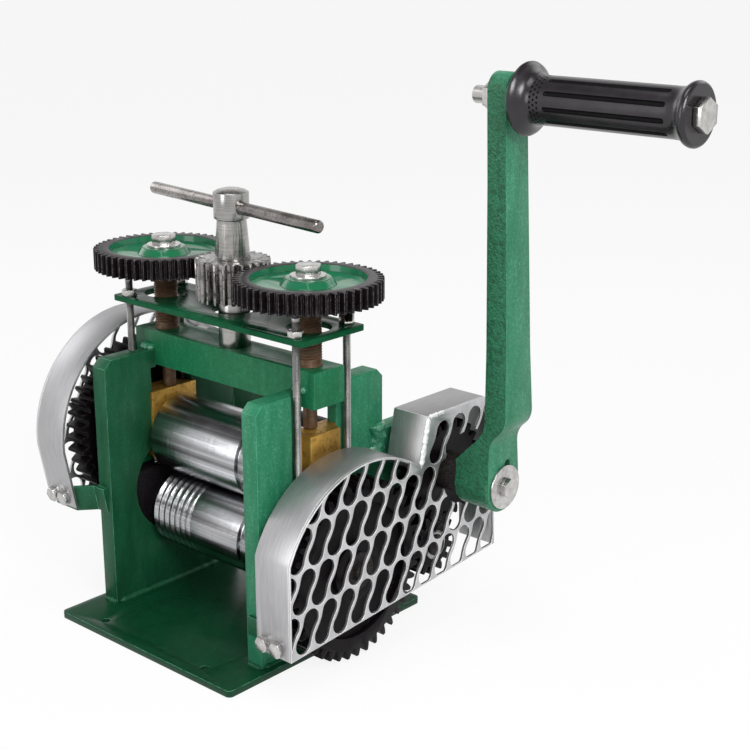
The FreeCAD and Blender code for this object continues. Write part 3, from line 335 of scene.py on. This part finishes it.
rust = rgb(0.10, 0.045, 0.018)
steels = {
    "shaftSteel": {"dark": rgb(0.10, 0.075, 0.055), "light": rgb(0.24, 0.19, 0.15), "roughness": 0.36,
                   "lines": (60.0, 60.0, 900.0), "metallic": 0.8, "stain": rust, "stained": (0.42, 0.62)},
    "machinedSteel": {"dark": rgb(0.21, 0.205, 0.20), "light": rgb(0.46, 0.45, 0.43), "roughness": 0.17,
                      "lines": (12.0, 12.0, 1500.0), "depth": 0.00001},
    "zincPlate": {"dark": rgb(0.38, 0.37, 0.36), "light": rgb(0.66, 0.65, 0.63), "roughness": 0.18,
                  "lines": (200.0, 200.0, 200.0), "stain": rgb(0.20, 0.16, 0.12), "stained": (0.66, 0.84),
                  "depth": 0.00001},
    "barSteel": {"dark": rgb(0.11, 0.095, 0.09), "light": rgb(0.34, 0.32, 0.31), "roughness": 0.16,
                 "lines": (700.0, 60.0, 700.0), "stain": rgb(0.10, 0.075, 0.06), "stained": (0.56, 0.72)},
    "pinionSteel": {"dark": rgb(0.12, 0.11, 0.11), "light": rgb(0.42, 0.41, 0.40), "roughness": 0.18,
                    "lines": (260.0, 260.0, 60.0), "stain": rgb(0.03, 0.025, 0.025),
                    "stained": (0.52, 0.64)},
    "rodSteel": {"dark": rgb(0.24, 0.235, 0.23), "light": rgb(0.46, 0.45, 0.44), "roughness": 0.32,
                 "lines": (60.0, 60.0, 60.0)},
    "threadSteel": {"dark": rgb(0.085, 0.055, 0.036), "light": rgb(0.19, 0.135, 0.095), "roughness": 0.42,
                    "lines": (60.0, 60.0, 900.0), "metallic": 0.7, "stain": rust, "stained": (0.38, 0.60)},
}
steel = {name: steelFinish(name, **look) for name, look in steels.items()}
finishes = {
    # painted shade: the satin green is a darker copy of the paint, for the left side
    "green_satin": paintFinish("greenSatin", "plate", fleck=0.20, peel=0.00006, roughness=0.34),
    "green_hammered": paintFinish("greenHammered", "hammer", fleck=0.55, peel=0.00050, roughness=0.30,
                                  speckle=0.25, specular=0.3, paintedSideShade=0.8),
    "green_gloss": paintFinish("greenGloss", "gloss", fleck=0.05, peel=0.00001, roughness=0.16,
                               specular=0.05),
    "black_carrier": castFinish("castCarrier", rgb(0.004, 0.003, 0.004), rgb(0.014, 0.012, 0.013), 0.34),
    "cast_black": castFinish("castGear", rgb(0.003, 0.002, 0.003), rgb(0.009, 0.007, 0.008), 0.32),
    "bronze": bronzeFinish(),
    "guard_aluminium": aluminiumFinish("brushedAluminium", rgb(0.32, 0.315, 0.325),
                                       rgb(0.48, 0.475, 0.485)),
    "roller_steel": rollerFinish(),
    "shaft_steel": steel["shaftSteel"],
    "machined_steel": steel["machinedSteel"],
    "zinc": steel["zincPlate"],
    "grip_rubber": rubberFinish(),
}
# painted light: the guard faces take a lighter copy of the brushed aluminium
faceSheetLit = aluminiumFinish("faceAluminiumLit", rgb(0.44, 0.44, 0.45), rgb(0.66, 0.66, 0.67))
# painted light: the right side plate and rear arm take a lighter copy of the green
rightPlateGreenLit = paintFinish("greenBrushedLit", "hammer", fleck=0.42, peel=0.00030, roughness=0.32)
beamGreen = paintFinish("greenBeam", "beam", fleck=0.45, peel=0.00022, roughness=0.30, speckle=0.3)
# painted shade: the base plate takes the darkest copy of the green
baseGreenShaded = paintFinish("greenBaseShaded", "base", fleck=0.10, peel=0.00003, roughness=0.26)
weldGreen = paintFinish("greenWeld", "hammer", fleck=0.60, peel=0.00080, roughness=0.12, specular=0.7)
darkFixing = castFinish("blackedFixing", rgb(0.012, 0.010, 0.010), rgb(0.050, 0.044, 0.042), 0.34)
# painted shade: the slots and dimples of the grip are a blacker rubber
slotShadeRubber = castFinish("gripSlots", rgb(0.002, 0.0015, 0.002), rgb(0.006, 0.005, 0.006), 0.45)
# painted highlight: the cut edges and the guard's weld beads are near white
burrAndHighlight = burrFinish()
# painted highlight: the broken edges of the black castings are a lighter grey
gearEdgeHighlight = castFinish("gearEdgeHighlight", rgb(0.012, 0.010, 0.011), rgb(0.16, 0.14, 0.15), 0.30)
paleEdge = wornPaintFinish("greenEdge", greens["hammerMain"])
deepEdge = wornPaintFinish("deepGreenEdge", greens["plateMain"])

finishOfNode = {
    "cross_bar": steel["barSteel"],
    "lift_rods": steel["rodSteel"],
    "spindle_pinion": steel["pinionSteel"],
    "left_screw": steel["threadSteel"], "right_screw": steel["threadSteel"],
    "spindle": finishes["machined_steel"],
    "top_beam": beamGreen,
    "base_plate": baseGreenShaded,
    "right_side_plate": rightPlateGreenLit, "right_rear_arm": rightPlateGreenLit,
    "right_guard_face": faceSheetLit, "left_guard_face": faceSheetLit,
    "crank_shaft": darkFixing, "idler_stud": darkFixing, "crank_spacer": darkFixing,
    "lower_gear_fixings": darkFixing, "upper_gear_fixings": darkFixing, "pinion_fixings": darkFixing,
    "left_lift_gear": liftGearFinish("leftLiftGear", -liftGearPaint["centre"]),
    "right_lift_gear": liftGearFinish("rightLiftGear", liftGearPaint["centre"]),
}
edgeFinishOfSlot = {"guard_aluminium": burrAndHighlight, "cast_black": gearEdgeHighlight, "green_hammered": paleEdge,
                    "green_satin": deepEdge}
print("finishes made")


# modelling tools
mergeDistance = 0.002 * mm
flatAngle, sharpAngle, smoothAngle = 0.5, 30, 35
edgeSegments = 2


def select(piece):
    bpy.ops.object.select_all(action="DESELECT")
    piece.select_set(True)
    bpy.context.view_layer.objects.active = piece


def editAll(piece):
    select(piece)
    bpy.ops.object.mode_set(mode="EDIT")
    bpy.ops.mesh.select_mode(type="VERT")
    bpy.ops.mesh.select_all(action="SELECT")


def leaveEdit():
    bpy.ops.object.mode_set(mode="OBJECT")


def selectVertices(piece, wanted):
    # called in edit mode: selects the vertices whose place passes the test
    bpy.ops.mesh.select_all(action="DESELECT")
    leaveEdit()
    for vertex in piece.data.vertices:
        vertex.select = wanted(vertex.co)
    bpy.ops.object.mode_set(mode="EDIT")


def applyModifiers(piece):
    select(piece)
    for name in [modifier.name for modifier in piece.modifiers]:
        bpy.ops.object.modifier_apply(modifier=name)


def smoothed(piece, angle=smoothAngle):
    select(piece)
    bpy.ops.object.shade_smooth_by_angle(angle=math.radians(angle))


def pointOutwards():
    # called in edit mode
    bpy.ops.mesh.select_all(action="SELECT")
    bpy.ops.mesh.normals_make_consistent(inside=False)


def placed(piece, place):
    # moves a piece to its place and then writes the place into its mesh
    piece.matrix_world = place
    select(piece)
    bpy.ops.object.transform_apply(location=True, rotation=True, scale=True)


def copyOf(piece, name):
    twin = piece.copy()
    twin.data = piece.data.copy()
    twin.name = name
    bpy.context.scene.collection.objects.link(twin)
    return twin


def joined(pieces):
    # one object from several, which is the first of them
    bpy.ops.object.select_all(action="DESELECT")
    for piece in pieces:
        piece.select_set(True)
    bpy.context.view_layer.objects.active = pieces[0]
    bpy.ops.object.join()
    return pieces[0]


def settle(piece, body, nodes=(), angle=smoothAngle):
    smoothed(piece, angle)
    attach(piece, body)
    if nodes:
        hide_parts(*nodes)


def nodeCopy(node):
    # the node's loose triangles merged to whole faces
    piece = copyOf(frame["nodes"][node], node.replace("_", "-") + "-finished")
    piece.parent = None
    piece.matrix_world = Matrix()
    editAll(piece)
    bpy.ops.mesh.remove_doubles(threshold=mergeDistance)
    bpy.ops.mesh.dissolve_limited(angle_limit=math.radians(flatAngle))
    leaveEdit()
    return piece


def breakEdges(piece, width, ownFinish):
    # bevels the sharp edges, whose new faces take the second finish where there is one
    bevel = piece.modifiers.new("edges", "BEVEL")
    bevel.width = width
    bevel.segments = edgeSegments
    bevel.limit_method = "ANGLE"
    bevel.angle_limit = math.radians(sharpAngle)
    bevel.use_clamp_overlap = True
    bevel.material = 1 if ownFinish else -1
    applyModifiers(piece)


def dress(node, finish, edge, reshape=None):
    # a copy of the node with its edges broken, which stands for the node
    piece = nodeCopy(node)
    slot = slotOfNode[node]
    edgeFinish = edgeFinishOfSlot.get(slot)
    if edgeFinish == deepEdge and node.startswith("right_"):
        # the right side takes the paler green, a lighter copy that is painted light
        edgeFinish = paleEdge
    piece.data.materials.clear()
    piece.data.materials.append(finish)
    if edgeFinish:
        piece.data.materials.append(edgeFinish)
    breakEdges(piece, edge, ownFinish=bool(edgeFinish))
    if reshape:
        piece = reshape(piece)
    settle(piece, bodyOfNode[node], [node])


def helix(name, place, radius, depth, halfHeight, pitch, turns, steps, sides=4):
    # a small closed outline swept up a screw line about Z and closed at both ends
    bpy.ops.object.select_all(action="DESELECT")
    bpy.ops.mesh.primitive_circle_add(vertices=sides, radius=1.0, location=(0, 0, 0),
                                      rotation=(math.pi / 2, 0, 0))
    coil = bpy.context.object
    coil.name = name
    bpy.ops.object.transform_apply(rotation=True)
    editAll(coil)
    bpy.ops.transform.resize(value=(depth, 1, halfHeight), center_override=(0, 0, 0))
    bpy.ops.transform.translate(value=(radius, 0, 0))
    leaveEdit()
    sweep = coil.modifiers.new("sweep", "SCREW")
    sweep.axis = "Z"
    sweep.angle = 2 * math.pi
    sweep.screw_offset = pitch
    sweep.iterations = turns
    sweep.steps = sweep.render_steps = steps
    applyModifiers(coil)
    editAll(coil)
    bpy.ops.mesh.fill_holes(sides=sides)
    pointOutwards()
    leaveEdit()
    placed(coil, Matrix.Translation(place))
    return coil


# the pressing screws and the lift rods carry real threads, the screws with two starts: 4 mm to a turn
screwThread = {"radius": 9.0 * mm, "core": 8.15 * mm, "spacing": 2.0 * mm, "starts": 2, "foot": 212.0 * mm,
               "top": 257.0 * mm, "lead": 0.6 * mm, "steps": 32, "reach": 75.0 * mm}
rodThread = {"radius": 2.9 * mm, "core": 2.52 * mm, "spacing": 1.0 * mm, "starts": 1, "foot": 112.0 * mm,
             "top": 249.0 * mm, "lead": 0.3 * mm, "steps": 14, "reachX": 87.0 * mm, "reachY": 25.0 * mm}
crestShare = 0.46
shankMargin = 1.2


def threaded(piece, axes, thread):
    # narrows each shank between two heights and winds ridges round it, back out to the full radius
    foot, top, lead = thread["foot"], thread["top"], thread["lead"]
    radius, core, spacing, starts = thread["radius"], thread["core"], thread["spacing"], thread["starts"]
    editAll(piece)
    for height in (foot, foot + lead, top - lead, top):
        bpy.ops.mesh.select_all(action="SELECT")
        bpy.ops.mesh.bisect(plane_co=(0, 0, height), plane_no=(0, 0, 1))
    for x, y in axes:
        selectVertices(piece, lambda co: (foot + lead / 2 < co.z < top - lead / 2
                                          and math.hypot(co.x - x, co.y - y) < radius * shankMargin))
        bpy.ops.transform.resize(value=(core / radius, core / radius, 1), center_override=(x, y, 0))
    leaveEdit()
    turns = int((top - foot - 2 * lead - (starts - 1) * spacing) / (spacing * starts))
    firstX, firstY = axes[0]
    ridge = helix("ridge", (firstX, firstY, foot + lead + spacing / 2), core, radius - core,
                  spacing * crestShare, spacing * starts, turns, thread["steps"])
    for material in piece.data.materials:
        ridge.data.materials.append(material)
    ridges = [ridge]
    moves = [(x - firstX, y - firstY, start * spacing) for x, y in axes for start in range(starts)]
    for move in moves[1:]:
        twin = copyOf(ridge, "ridge")
        placed(twin, Matrix.Translation(move))
        ridges.append(twin)
    return joined([piece] + ridges)


def threadLeftScrew(piece):
    return threaded(piece, [(-screwThread["reach"], 0.0)], screwThread)


def threadRightScrew(piece):
    return threaded(piece, [(screwThread["reach"], 0.0)], screwThread)


def threadRods(piece):
    x, y = rodThread["reachX"], rodThread["reachY"]
    return threaded(piece, [(-x, -y), (-x, y), (x, -y), (x, y)], rodThread)


# the grip's nut is made wider across its flats, and its bolt stands further out of it
gripAxis = {"y": 84.2805 * mm, "z": 394.6513 * mm}
gripNut = {"inner": 7.0 * mm, "wider": 19.0 / 17.0, "boltEnd": 156.0 * mm, "longer": 2.6 * mm}


def wideNut(piece):
    y, z = gripAxis["y"], gripAxis["z"]
    editAll(piece)
    selectVertices(piece, lambda co: math.hypot(co.y - y, co.z - z) > gripNut["inner"])
    bpy.ops.transform.resize(value=(1, gripNut["wider"], gripNut["wider"]), center_override=(0, y, z))
    leaveEdit()
    return piece


def longBolt(piece):
    editAll(piece)
    selectVertices(piece, lambda co: co.x < gripNut["boltEnd"])
    bpy.ops.transform.translate(value=(-gripNut["longer"], 0, 0))
    leaveEdit()
    return piece


# the hand grip: a bell flange, a barrel with long slots and rows of dimples, and a smaller outer flange;
# flange and cap list the outline's places along X and its radii, in millimetres
gripShape = {
    "sides": 72, "ringStep": 2.5,
    "flange": ((191.6, 6.1), (191.6, 20.6), (192.2, 22.7), (193.3, 23.9), (194.4, 24.05), (195.6, 23.4),
               (197.0, 21.2), (198.6, 18.8), (200.4, 17.2), (202.4, 16.3), (204.6, 16.0)),
    "cap": ((304.0, 16.0), (307.5, 16.2), (310.0, 16.9), (312.0, 18.2), (313.6, 19.5), (315.2, 20.1),
            (316.8, 20.1), (318.0, 19.5), (318.7, 18.4), (318.7, 6.1), (191.6, 6.1)),
    "barrel": 16.0 * mm, "slotFrom": 215.0 * mm, "slotTo": 303.0 * mm, "slotRadius": 1.8 * mm,
    "slotSink": 0.15 * mm, "slotSides": 12, "slotRings": 8, "slots": 10, "firstSlot": 22.5,
    "dimpleRows": (205.2, 208.0, 210.8), "dimpleRadius": 0.95 * mm, "dimpleOut": 0.25, "dimples": 30,
    "mergeDistance": 0.005 * mm, "smoothAngle": 32,
}


def turnGrip():
    # a ring drawn out along the grip, opened and closed as it goes, and back through the bore
    shape = gripShape
    start, end = shape["flange"][-1][0], shape["cap"][0][0]
    count = round((end - start) / shape["ringStep"])
    barrel = [(start + (end - start) * step / count, shape["barrel"] / mm) for step in range(1, count)]
    profile = [*shape["flange"], *barrel, *shape["cap"]]
    x, radius = profile[0]
    bpy.ops.object.select_all(action="DESELECT")
    bpy.ops.mesh.primitive_circle_add(vertices=shape["sides"], radius=radius * mm,
                                      location=(x * mm, gripAxis["y"], gripAxis["z"]),
                                      rotation=(0, math.pi / 2, 0))
    piece = bpy.context.object
    piece.name = "hand-grip"
    bpy.ops.object.transform_apply(location=True, rotation=True, scale=True)
    editAll(piece)
    for nextX, nextRadius in profile[1:]:
        bpy.ops.mesh.extrude_region_move(TRANSFORM_OT_translate={"value": ((nextX - x) * mm, 0, 0)})
        ease = nextRadius / radius
        bpy.ops.transform.resize(value=(1, ease, ease), center_override=(0, gripAxis["y"], gripAxis["z"]))
        x, radius = nextX, nextRadius
    bpy.ops.mesh.select_all(action="SELECT")
    bpy.ops.mesh.remove_doubles(threshold=shape["mergeDistance"])
    pointOutwards()
    leaveEdit()
    return piece


def repeatRound(piece, count):
    editAll(piece)
    bpy.ops.mesh.spin(steps=count - 1, angle=2 * math.pi * (count - 1) / count, dupli=True,
                      center=(0, gripAxis["y"], gripAxis["z"]), axis=(1, 0, 0))
    leaveEdit()


def slotCutter():
    # a ball whose halves are drawn apart
    shape = gripShape
    bpy.ops.object.select_all(action="DESELECT")
    bpy.ops.mesh.primitive_uv_sphere_add(segments=shape["slotSides"], ring_count=shape["slotRings"],
                                         radius=shape["slotRadius"], location=(0, 0, 0),
                                         rotation=(0, math.pi / 2, 0))
    slot = bpy.context.object
    bpy.ops.object.transform_apply(rotation=True)
    editAll(slot)
    selectVertices(slot, lambda co: co.x > -mergeDistance / 2)
    half = (shape["slotTo"] - shape["slotFrom"]) / 2 - shape["slotRadius"]
    bpy.ops.transform.translate(value=(half, 0, 0))
    selectVertices(slot, lambda co: co.x < half / 2)
    bpy.ops.transform.translate(value=(-half, 0, 0))
    leaveEdit()
    turn = math.radians(shape["firstSlot"])
    out = shape["barrel"] + shape["slotSink"]
    placed(slot, Matrix.Translation(((shape["slotTo"] + shape["slotFrom"]) / 2,
                                     gripAxis["y"] - math.cos(turn) * out,
                                     gripAxis["z"] + math.sin(turn) * out)))
    repeatRound(slot, shape["slots"])
    return slot


def dimpleCutter(number, row):
    # every row is turned by half a step against the one before
    shape = gripShape
    turn = math.pi * number / shape["dimples"]
    out = shape["barrel"] + shape["dimpleRadius"] * shape["dimpleOut"]
    bpy.ops.object.select_all(action="DESELECT")
    bpy.ops.mesh.primitive_ico_sphere_add(subdivisions=2, radius=shape["dimpleRadius"],
                                          location=(row * mm, gripAxis["y"] + math.cos(turn) * out,
                                                    gripAxis["z"] + math.sin(turn) * out))
    dimple = bpy.context.object
    bpy.ops.object.transform_apply(location=True)
    repeatRound(dimple, shape["dimples"])
    return dimple


def addGrip():
    piece = turnGrip()
    rows = enumerate(gripShape["dimpleRows"])
    cutter = joined([slotCutter()] + [dimpleCutter(number, row) for number, row in rows])
    # painted shade: the cut faces of slots and dimples take the blacker rubber
    cutter.data.materials.append(slotShadeRubber)
    piece.data.materials.append(finishes["grip_rubber"])
    carve = piece.modifiers.new("slots", "BOOLEAN")
    carve.operation = "DIFFERENCE"
    carve.solver = "EXACT"
    carve.material_mode = "TRANSFER"
    carve.object = cutter
    applyModifiers(piece)
    bpy.data.objects.remove(cutter)
    settle(piece, "grip", ["grip"], gripShape["smoothAngle"])


addGrip()
print("grip turned and carved")


# how far the edges of each kind of piece are broken, in millimetres
edgeOfSlot = {
    "green_satin": 0.8, "green_hammered": 1.0, "green_gloss": 0.4, "black_carrier": 0.6, "bronze": 0.4,
    "guard_aluminium": 0.5, "roller_steel": 0.3, "shaft_steel": 0.3, "machined_steel": 0.3, "zinc": 0.2,
    "grip_rubber": 0.6, "cast_black": 0.25,
}
reshapes = {"left_screw": threadLeftScrew, "right_screw": threadRightScrew, "lift_rods": threadRods,
            "grip_nut": wideNut, "grip_bolt": longBolt}
madeAnew = ("return_springs", "grip")

for node, slot in slotOfNode.items():
    if node not in madeAnew:
        dress(node, finishOfNode.get(node, finishes[slot]), edgeOfSlot[slot] * mm, reshapes.get(node))
print("nodes dressed")


# the four coil springs that lift the upper roller's blocks
springShape = {"reachX": 77.0 * mm, "reachY": 15.5 * mm, "coil": 2.65 * mm, "wire": 0.5 * mm,
               "foot": 104.0 * mm, "top": 121.0 * mm, "turns": 7, "steps": 20, "sides": 8}


def addSprings():
    shape = springShape
    pitch = (shape["top"] - shape["foot"] - 2 * shape["wire"]) / shape["turns"]
    x, y = shape["reachX"], shape["reachY"]
    first = helix("return-springs", (-x, -y, shape["foot"] + shape["wire"]), shape["coil"], shape["wire"],
                  shape["wire"], pitch, shape["turns"], shape["steps"], shape["sides"])
    coils = [first]
    for moveX, moveY in ((2 * x, 0), (0, 2 * y), (2 * x, 2 * y)):
        twin = copyOf(first, "coil")
        placed(twin, Matrix.Translation((moveX, moveY, 0)))
        coils.append(twin)
    springs = joined(coils)
    smoothed(springs)
    springs.data.materials.clear()
    springs.data.materials.append(finishes["machined_steel"])
    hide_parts("return_springs")
    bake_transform(springs)


addSprings()
print("springs wound")


# weld beads: a row of pools, each ring of it swelling and shrinking; places and sizes in millimetres
welds = {
    "right-arm-weld": {"start": (86.2, 56.0, 130.0), "end": (86.2, 58.0, 158.0), "wide": 9.5, "high": 6.8,
                       "pools": 3, "seed": 3, "rough": 2.6},
    "left-arm-weld": {"start": (-86.2, 57.5, 134.0), "end": (-86.2, 58.5, 156.0), "wide": 6.0, "high": 5.0,
                      "pools": 2, "seed": 5, "rough": 1.8},
    "beam-left-weld": {"start": (-86.5, -15.6, 197.6), "end": (-73.0, -15.6, 197.0), "wide": 4.2,
                       "high": 4.2, "pools": 3, "seed": 8, "rough": 0.6},
    "beam-right-weld": {"start": (73.0, -15.6, 197.0), "end": (86.5, -15.6, 197.6), "wide": 3.0,
                        "high": 2.6, "pools": 3, "seed": 9, "rough": 0.3},
    "base-right-weld": {"start": (86.6, -60.0, 5.2), "end": (86.6, 60.0, 5.2), "wide": 2.6, "high": 2.6,
                        "pools": 22, "seed": 12, "rough": 0.2},
    "base-left-weld": {"start": (-86.6, -60.0, 5.2), "end": (-86.6, 60.0, 5.2), "wide": 2.6, "high": 2.6,
                       "pools": 22, "seed": 14, "rough": 0.2},
    "inner-right-weld": {"start": (72.4, -60.5, 5.2), "end": (72.4, 60.5, 5.2), "wide": 3.0, "high": 3.0,
                         "pools": 12, "seed": 16, "rough": 0.15},
    "inner-left-weld": {"start": (-72.4, -60.5, 5.2), "end": (-72.4, 60.5, 5.2), "wide": 3.0, "high": 3.0,
                        "pools": 12, "seed": 17, "rough": 0.15},
    "front-left-weld": {"start": (-86.0, -63.2, 5.2), "end": (-73.0, -63.2, 5.2), "wide": 2.6, "high": 2.6,
                        "pools": 3, "seed": 18, "rough": 0.4},
    "front-right-weld": {"start": (73.0, -63.2, 5.2), "end": (86.0, -63.2, 5.2), "wide": 2.6, "high": 2.6,
                         "pools": 3, "seed": 19, "rough": 0.4},
    "guard-side-weld": {"start": (127.2, 59.2, 133.0), "end": (127.2, 66.6, 166.5), "wide": 2.6,
                        "high": 1.9, "pools": 9, "seed": 21, "rough": 0.5, "slot": "guard_aluminium"},
    "guard-top-weld": {"start": (127.2, 67.0, 167.0), "end": (127.2, 84.0, 167.0), "wide": 1.9,
                       "high": 1.2, "pools": 5, "seed": 23, "rough": 0.4, "slot": "guard_aluminium"},
}
weldShape = {"sides": 10, "ringsPerPool": 3, "swells": (0.80, 1.0, 0.92), "least": 0.88, "most": 1.12,
             "endSize": 0.45, "levels": 2, "litWeldsFrom": 50.0, "smoothAngle": 60}


def weldStick(name, weld):
    # a unit stick along Z whose rings swell with each pool
    shape = weldShape
    draw = random.Random(weld["seed"])
    rings = weld["pools"] * shape["ringsPerPool"]
    size = shape["endSize"]
    bpy.ops.object.select_all(action="DESELECT")
    bpy.ops.mesh.primitive_circle_add(vertices=shape["sides"], radius=size, fill_type="NGON",
                                      location=(0, 0, 0))
    bead = bpy.context.object
    bead.name = name
    editAll(bead)
    for ring in range(1, rings + 1):
        bpy.ops.mesh.extrude_region_move(TRANSFORM_OT_translate={"value": (0, 0, 1.0 / rings)})
        swell = shape["swells"][ring % len(shape["swells"])] * draw.uniform(shape["least"], shape["most"])
        if ring == rings:
            swell = shape["endSize"]
        bpy.ops.transform.resize(value=(swell / size, swell / size, 1), center_override=(0, 0, 0))
        size = swell
    pointOutwards()
    leaveEdit()
    return bead


def weldPlace(weld):
    # the matrix that takes the unit stick to the weld's line, wide across it and high out of the joint
    start, end = Vector(weld["start"]) * mm, Vector(weld["end"]) * mm
    along = (end - start).normalized()
    out = Vector((1, 0, 0)) if abs(along.x) < 0.5 else Vector((0, -1, 0))
    across = along.cross(out).normalized()
    out = across.cross(along)
    columns = Matrix((out * weld["high"] * mm, across * weld["wide"] * mm, end - start))
    return Matrix.Translation(start) @ columns.transposed().to_4x4()


def finishOfWeld(weld):
    if "slot" in weld:
        return burrAndHighlight
    # painted light and shade: welds high up take the lighter glossy green, those low down the darker satin
    # copy
    return weldGreen if weld["start"][2] > weldShape["litWeldsFrom"] else finishes["green_satin"]


def weldBead(name, weld):
    bead = weldStick(name, weld)
    bead.matrix_world = weldPlace(weld)
    bpy.ops.object.transform_apply(location=True, rotation=True, scale=True)
    editAll(bead)
    bpy.ops.transform.vertex_random(offset=weld["rough"] * mm, uniform=0.3, normal=0.8, seed=weld["seed"])
    pointOutwards()
    leaveEdit()
    smoother = bead.modifiers.new("round", "SUBSURF")
    smoother.levels = smoother.render_levels = weldShape["levels"]
    applyModifiers(bead)
    bead.data.materials.append(finishOfWeld(weld))
    settle(bead, "frame", angle=weldShape["smoothAngle"])


for name, weld in welds.items():
    weldBead(name, weld)
print("welds laid")


# floor, light and camera
studio = {
    "cameraPlace": (0.76161, -0.69913, 0.50454),
    "azimuth": 41.83,
    "elevation": 17.11,
    "focalPixels": 1476.96,
    "imagePixels": 750.0,
    "sensor": 36.0,
    "floorSize": 80.0,
    "floorDrop": 0.2 * mm,
    "floorShade": 0.82,
    "floorGlow": 0.88,
    "ambient": 0.42,
    "wallTop": 0.45,
    "ceilingFrom": 0.80,
    "overhead": 0.22,
}
lamps = {
    "key": {"place": (1.05, -0.50, 1.00), "target": (0.02, 0, 0.18), "size": (0.55, 0.55), "power": 13.0},
    "top": {"place": (0.10, -0.20, 1.70), "target": (0, 0, 0.10), "size": (0.8, 0.8), "power": 8.0},
    "back": {"place": (0.45, 1.60, 1.40), "target": (0, 0, 0.15), "size": (0.9, 0.9), "power": 4.0},
    "side": {"place": (-1.60, -0.10, 0.90), "target": (0, 0, 0.15), "size": (0.8, 0.8), "power": 3.5},
    "fill": {"place": (-0.25, -1.70, 0.70), "target": (0, 0, 0.15), "size": (0.7, 1.1), "power": 9.0},
}


def addCamera():
    azimuth, elevation = math.radians(studio["azimuth"]), math.radians(studio["elevation"])
    back = Vector((math.sin(azimuth) * math.cos(elevation), -math.cos(azimuth) * math.cos(elevation),
                   math.sin(elevation)))
    right = Vector((math.cos(azimuth), math.sin(azimuth), 0))
    up = back.cross(right)
    data = bpy.data.cameras.new("camera")
    data.sensor_width = studio["sensor"]
    data.lens = studio["sensor"] * studio["focalPixels"] / studio["imagePixels"]
    data.clip_start = 0.01
    camera = bpy.data.objects.new("camera", data)
    turn = Matrix((right, up, back)).transposed().to_4x4()
    camera.matrix_world = Matrix.Translation(studio["cameraPlace"]) @ turn
    bpy.context.scene.collection.objects.link(camera)
    bpy.context.scene.camera = camera


def addLamp(name, lamp):
    data = bpy.data.lights.new(name, "AREA")
    data.shape = "RECTANGLE"
    data.size, data.size_y = lamp["size"]
    data.energy = lamp["power"]
    aim = (Vector(lamp["target"]) - Vector(lamp["place"])).to_track_quat("-Z", "Y")
    made = bpy.data.objects.new(name, data)
    made.matrix_world = Matrix.Translation(lamp["place"]) @ aim.to_matrix().to_4x4()
    bpy.context.scene.collection.objects.link(made)


def addFloor():
    bpy.ops.object.select_all(action="DESELECT")
    bpy.ops.mesh.primitive_plane_add(size=studio["floorSize"], location=(0, 0, -studio["floorDrop"]))
    floor = bpy.context.object
    floor.name = "floor"
    finish = Finish("paleFloor")
    shader = finish.node("BsdfPrincipled", None, {"Base Color": grey(studio["floorShade"]),
                                                  "Roughness": 0.9, "Specular IOR Level": 0.1})
    white = finish.node("Emission", None, {"Color": grey(1.0), "Strength": 1.0})
    mix = finish.node("MixShader", None, {0: finish.seen() * studio["floorGlow"], 1: shader, 2: white})
    finish.node("OutputMaterial", None, {"Surface": mix})
    floor.data.materials.append(finish.material)


def setWorld():
    # white all round, dimmer overhead, and less of it as light on the object than as a background
    world = bpy.data.worlds.new("studio")
    bpy.context.scene.world = world
    world.use_nodes = True
    sky = Wiring(world.node_tree)
    direction = sky.node("TexCoord", output="Generated")
    height = sky.node("SeparateXYZ", None, {0: direction}, output="Z")
    wall = sky.node("MapRange", {"clamp": True}, {0: height, 1: studio["wallTop"], 2: studio["ceilingFrom"],
                                                  3: 1.0, 4: studio["overhead"]})
    seen = sky.seen()
    strength = seen * wall + (1.0 - seen) * studio["ambient"]
    background = sky.node("Background", None, {"Color": grey(1.0), "Strength": strength})
    sky.node("OutputWorld", None, {"Surface": background})


addCamera()
for name, lamp in lamps.items():
    addLamp(name, lamp)
addFloor()
setWorld()
bpy.context.scene.view_settings.view_transform = "Standard"
print("studio ready")
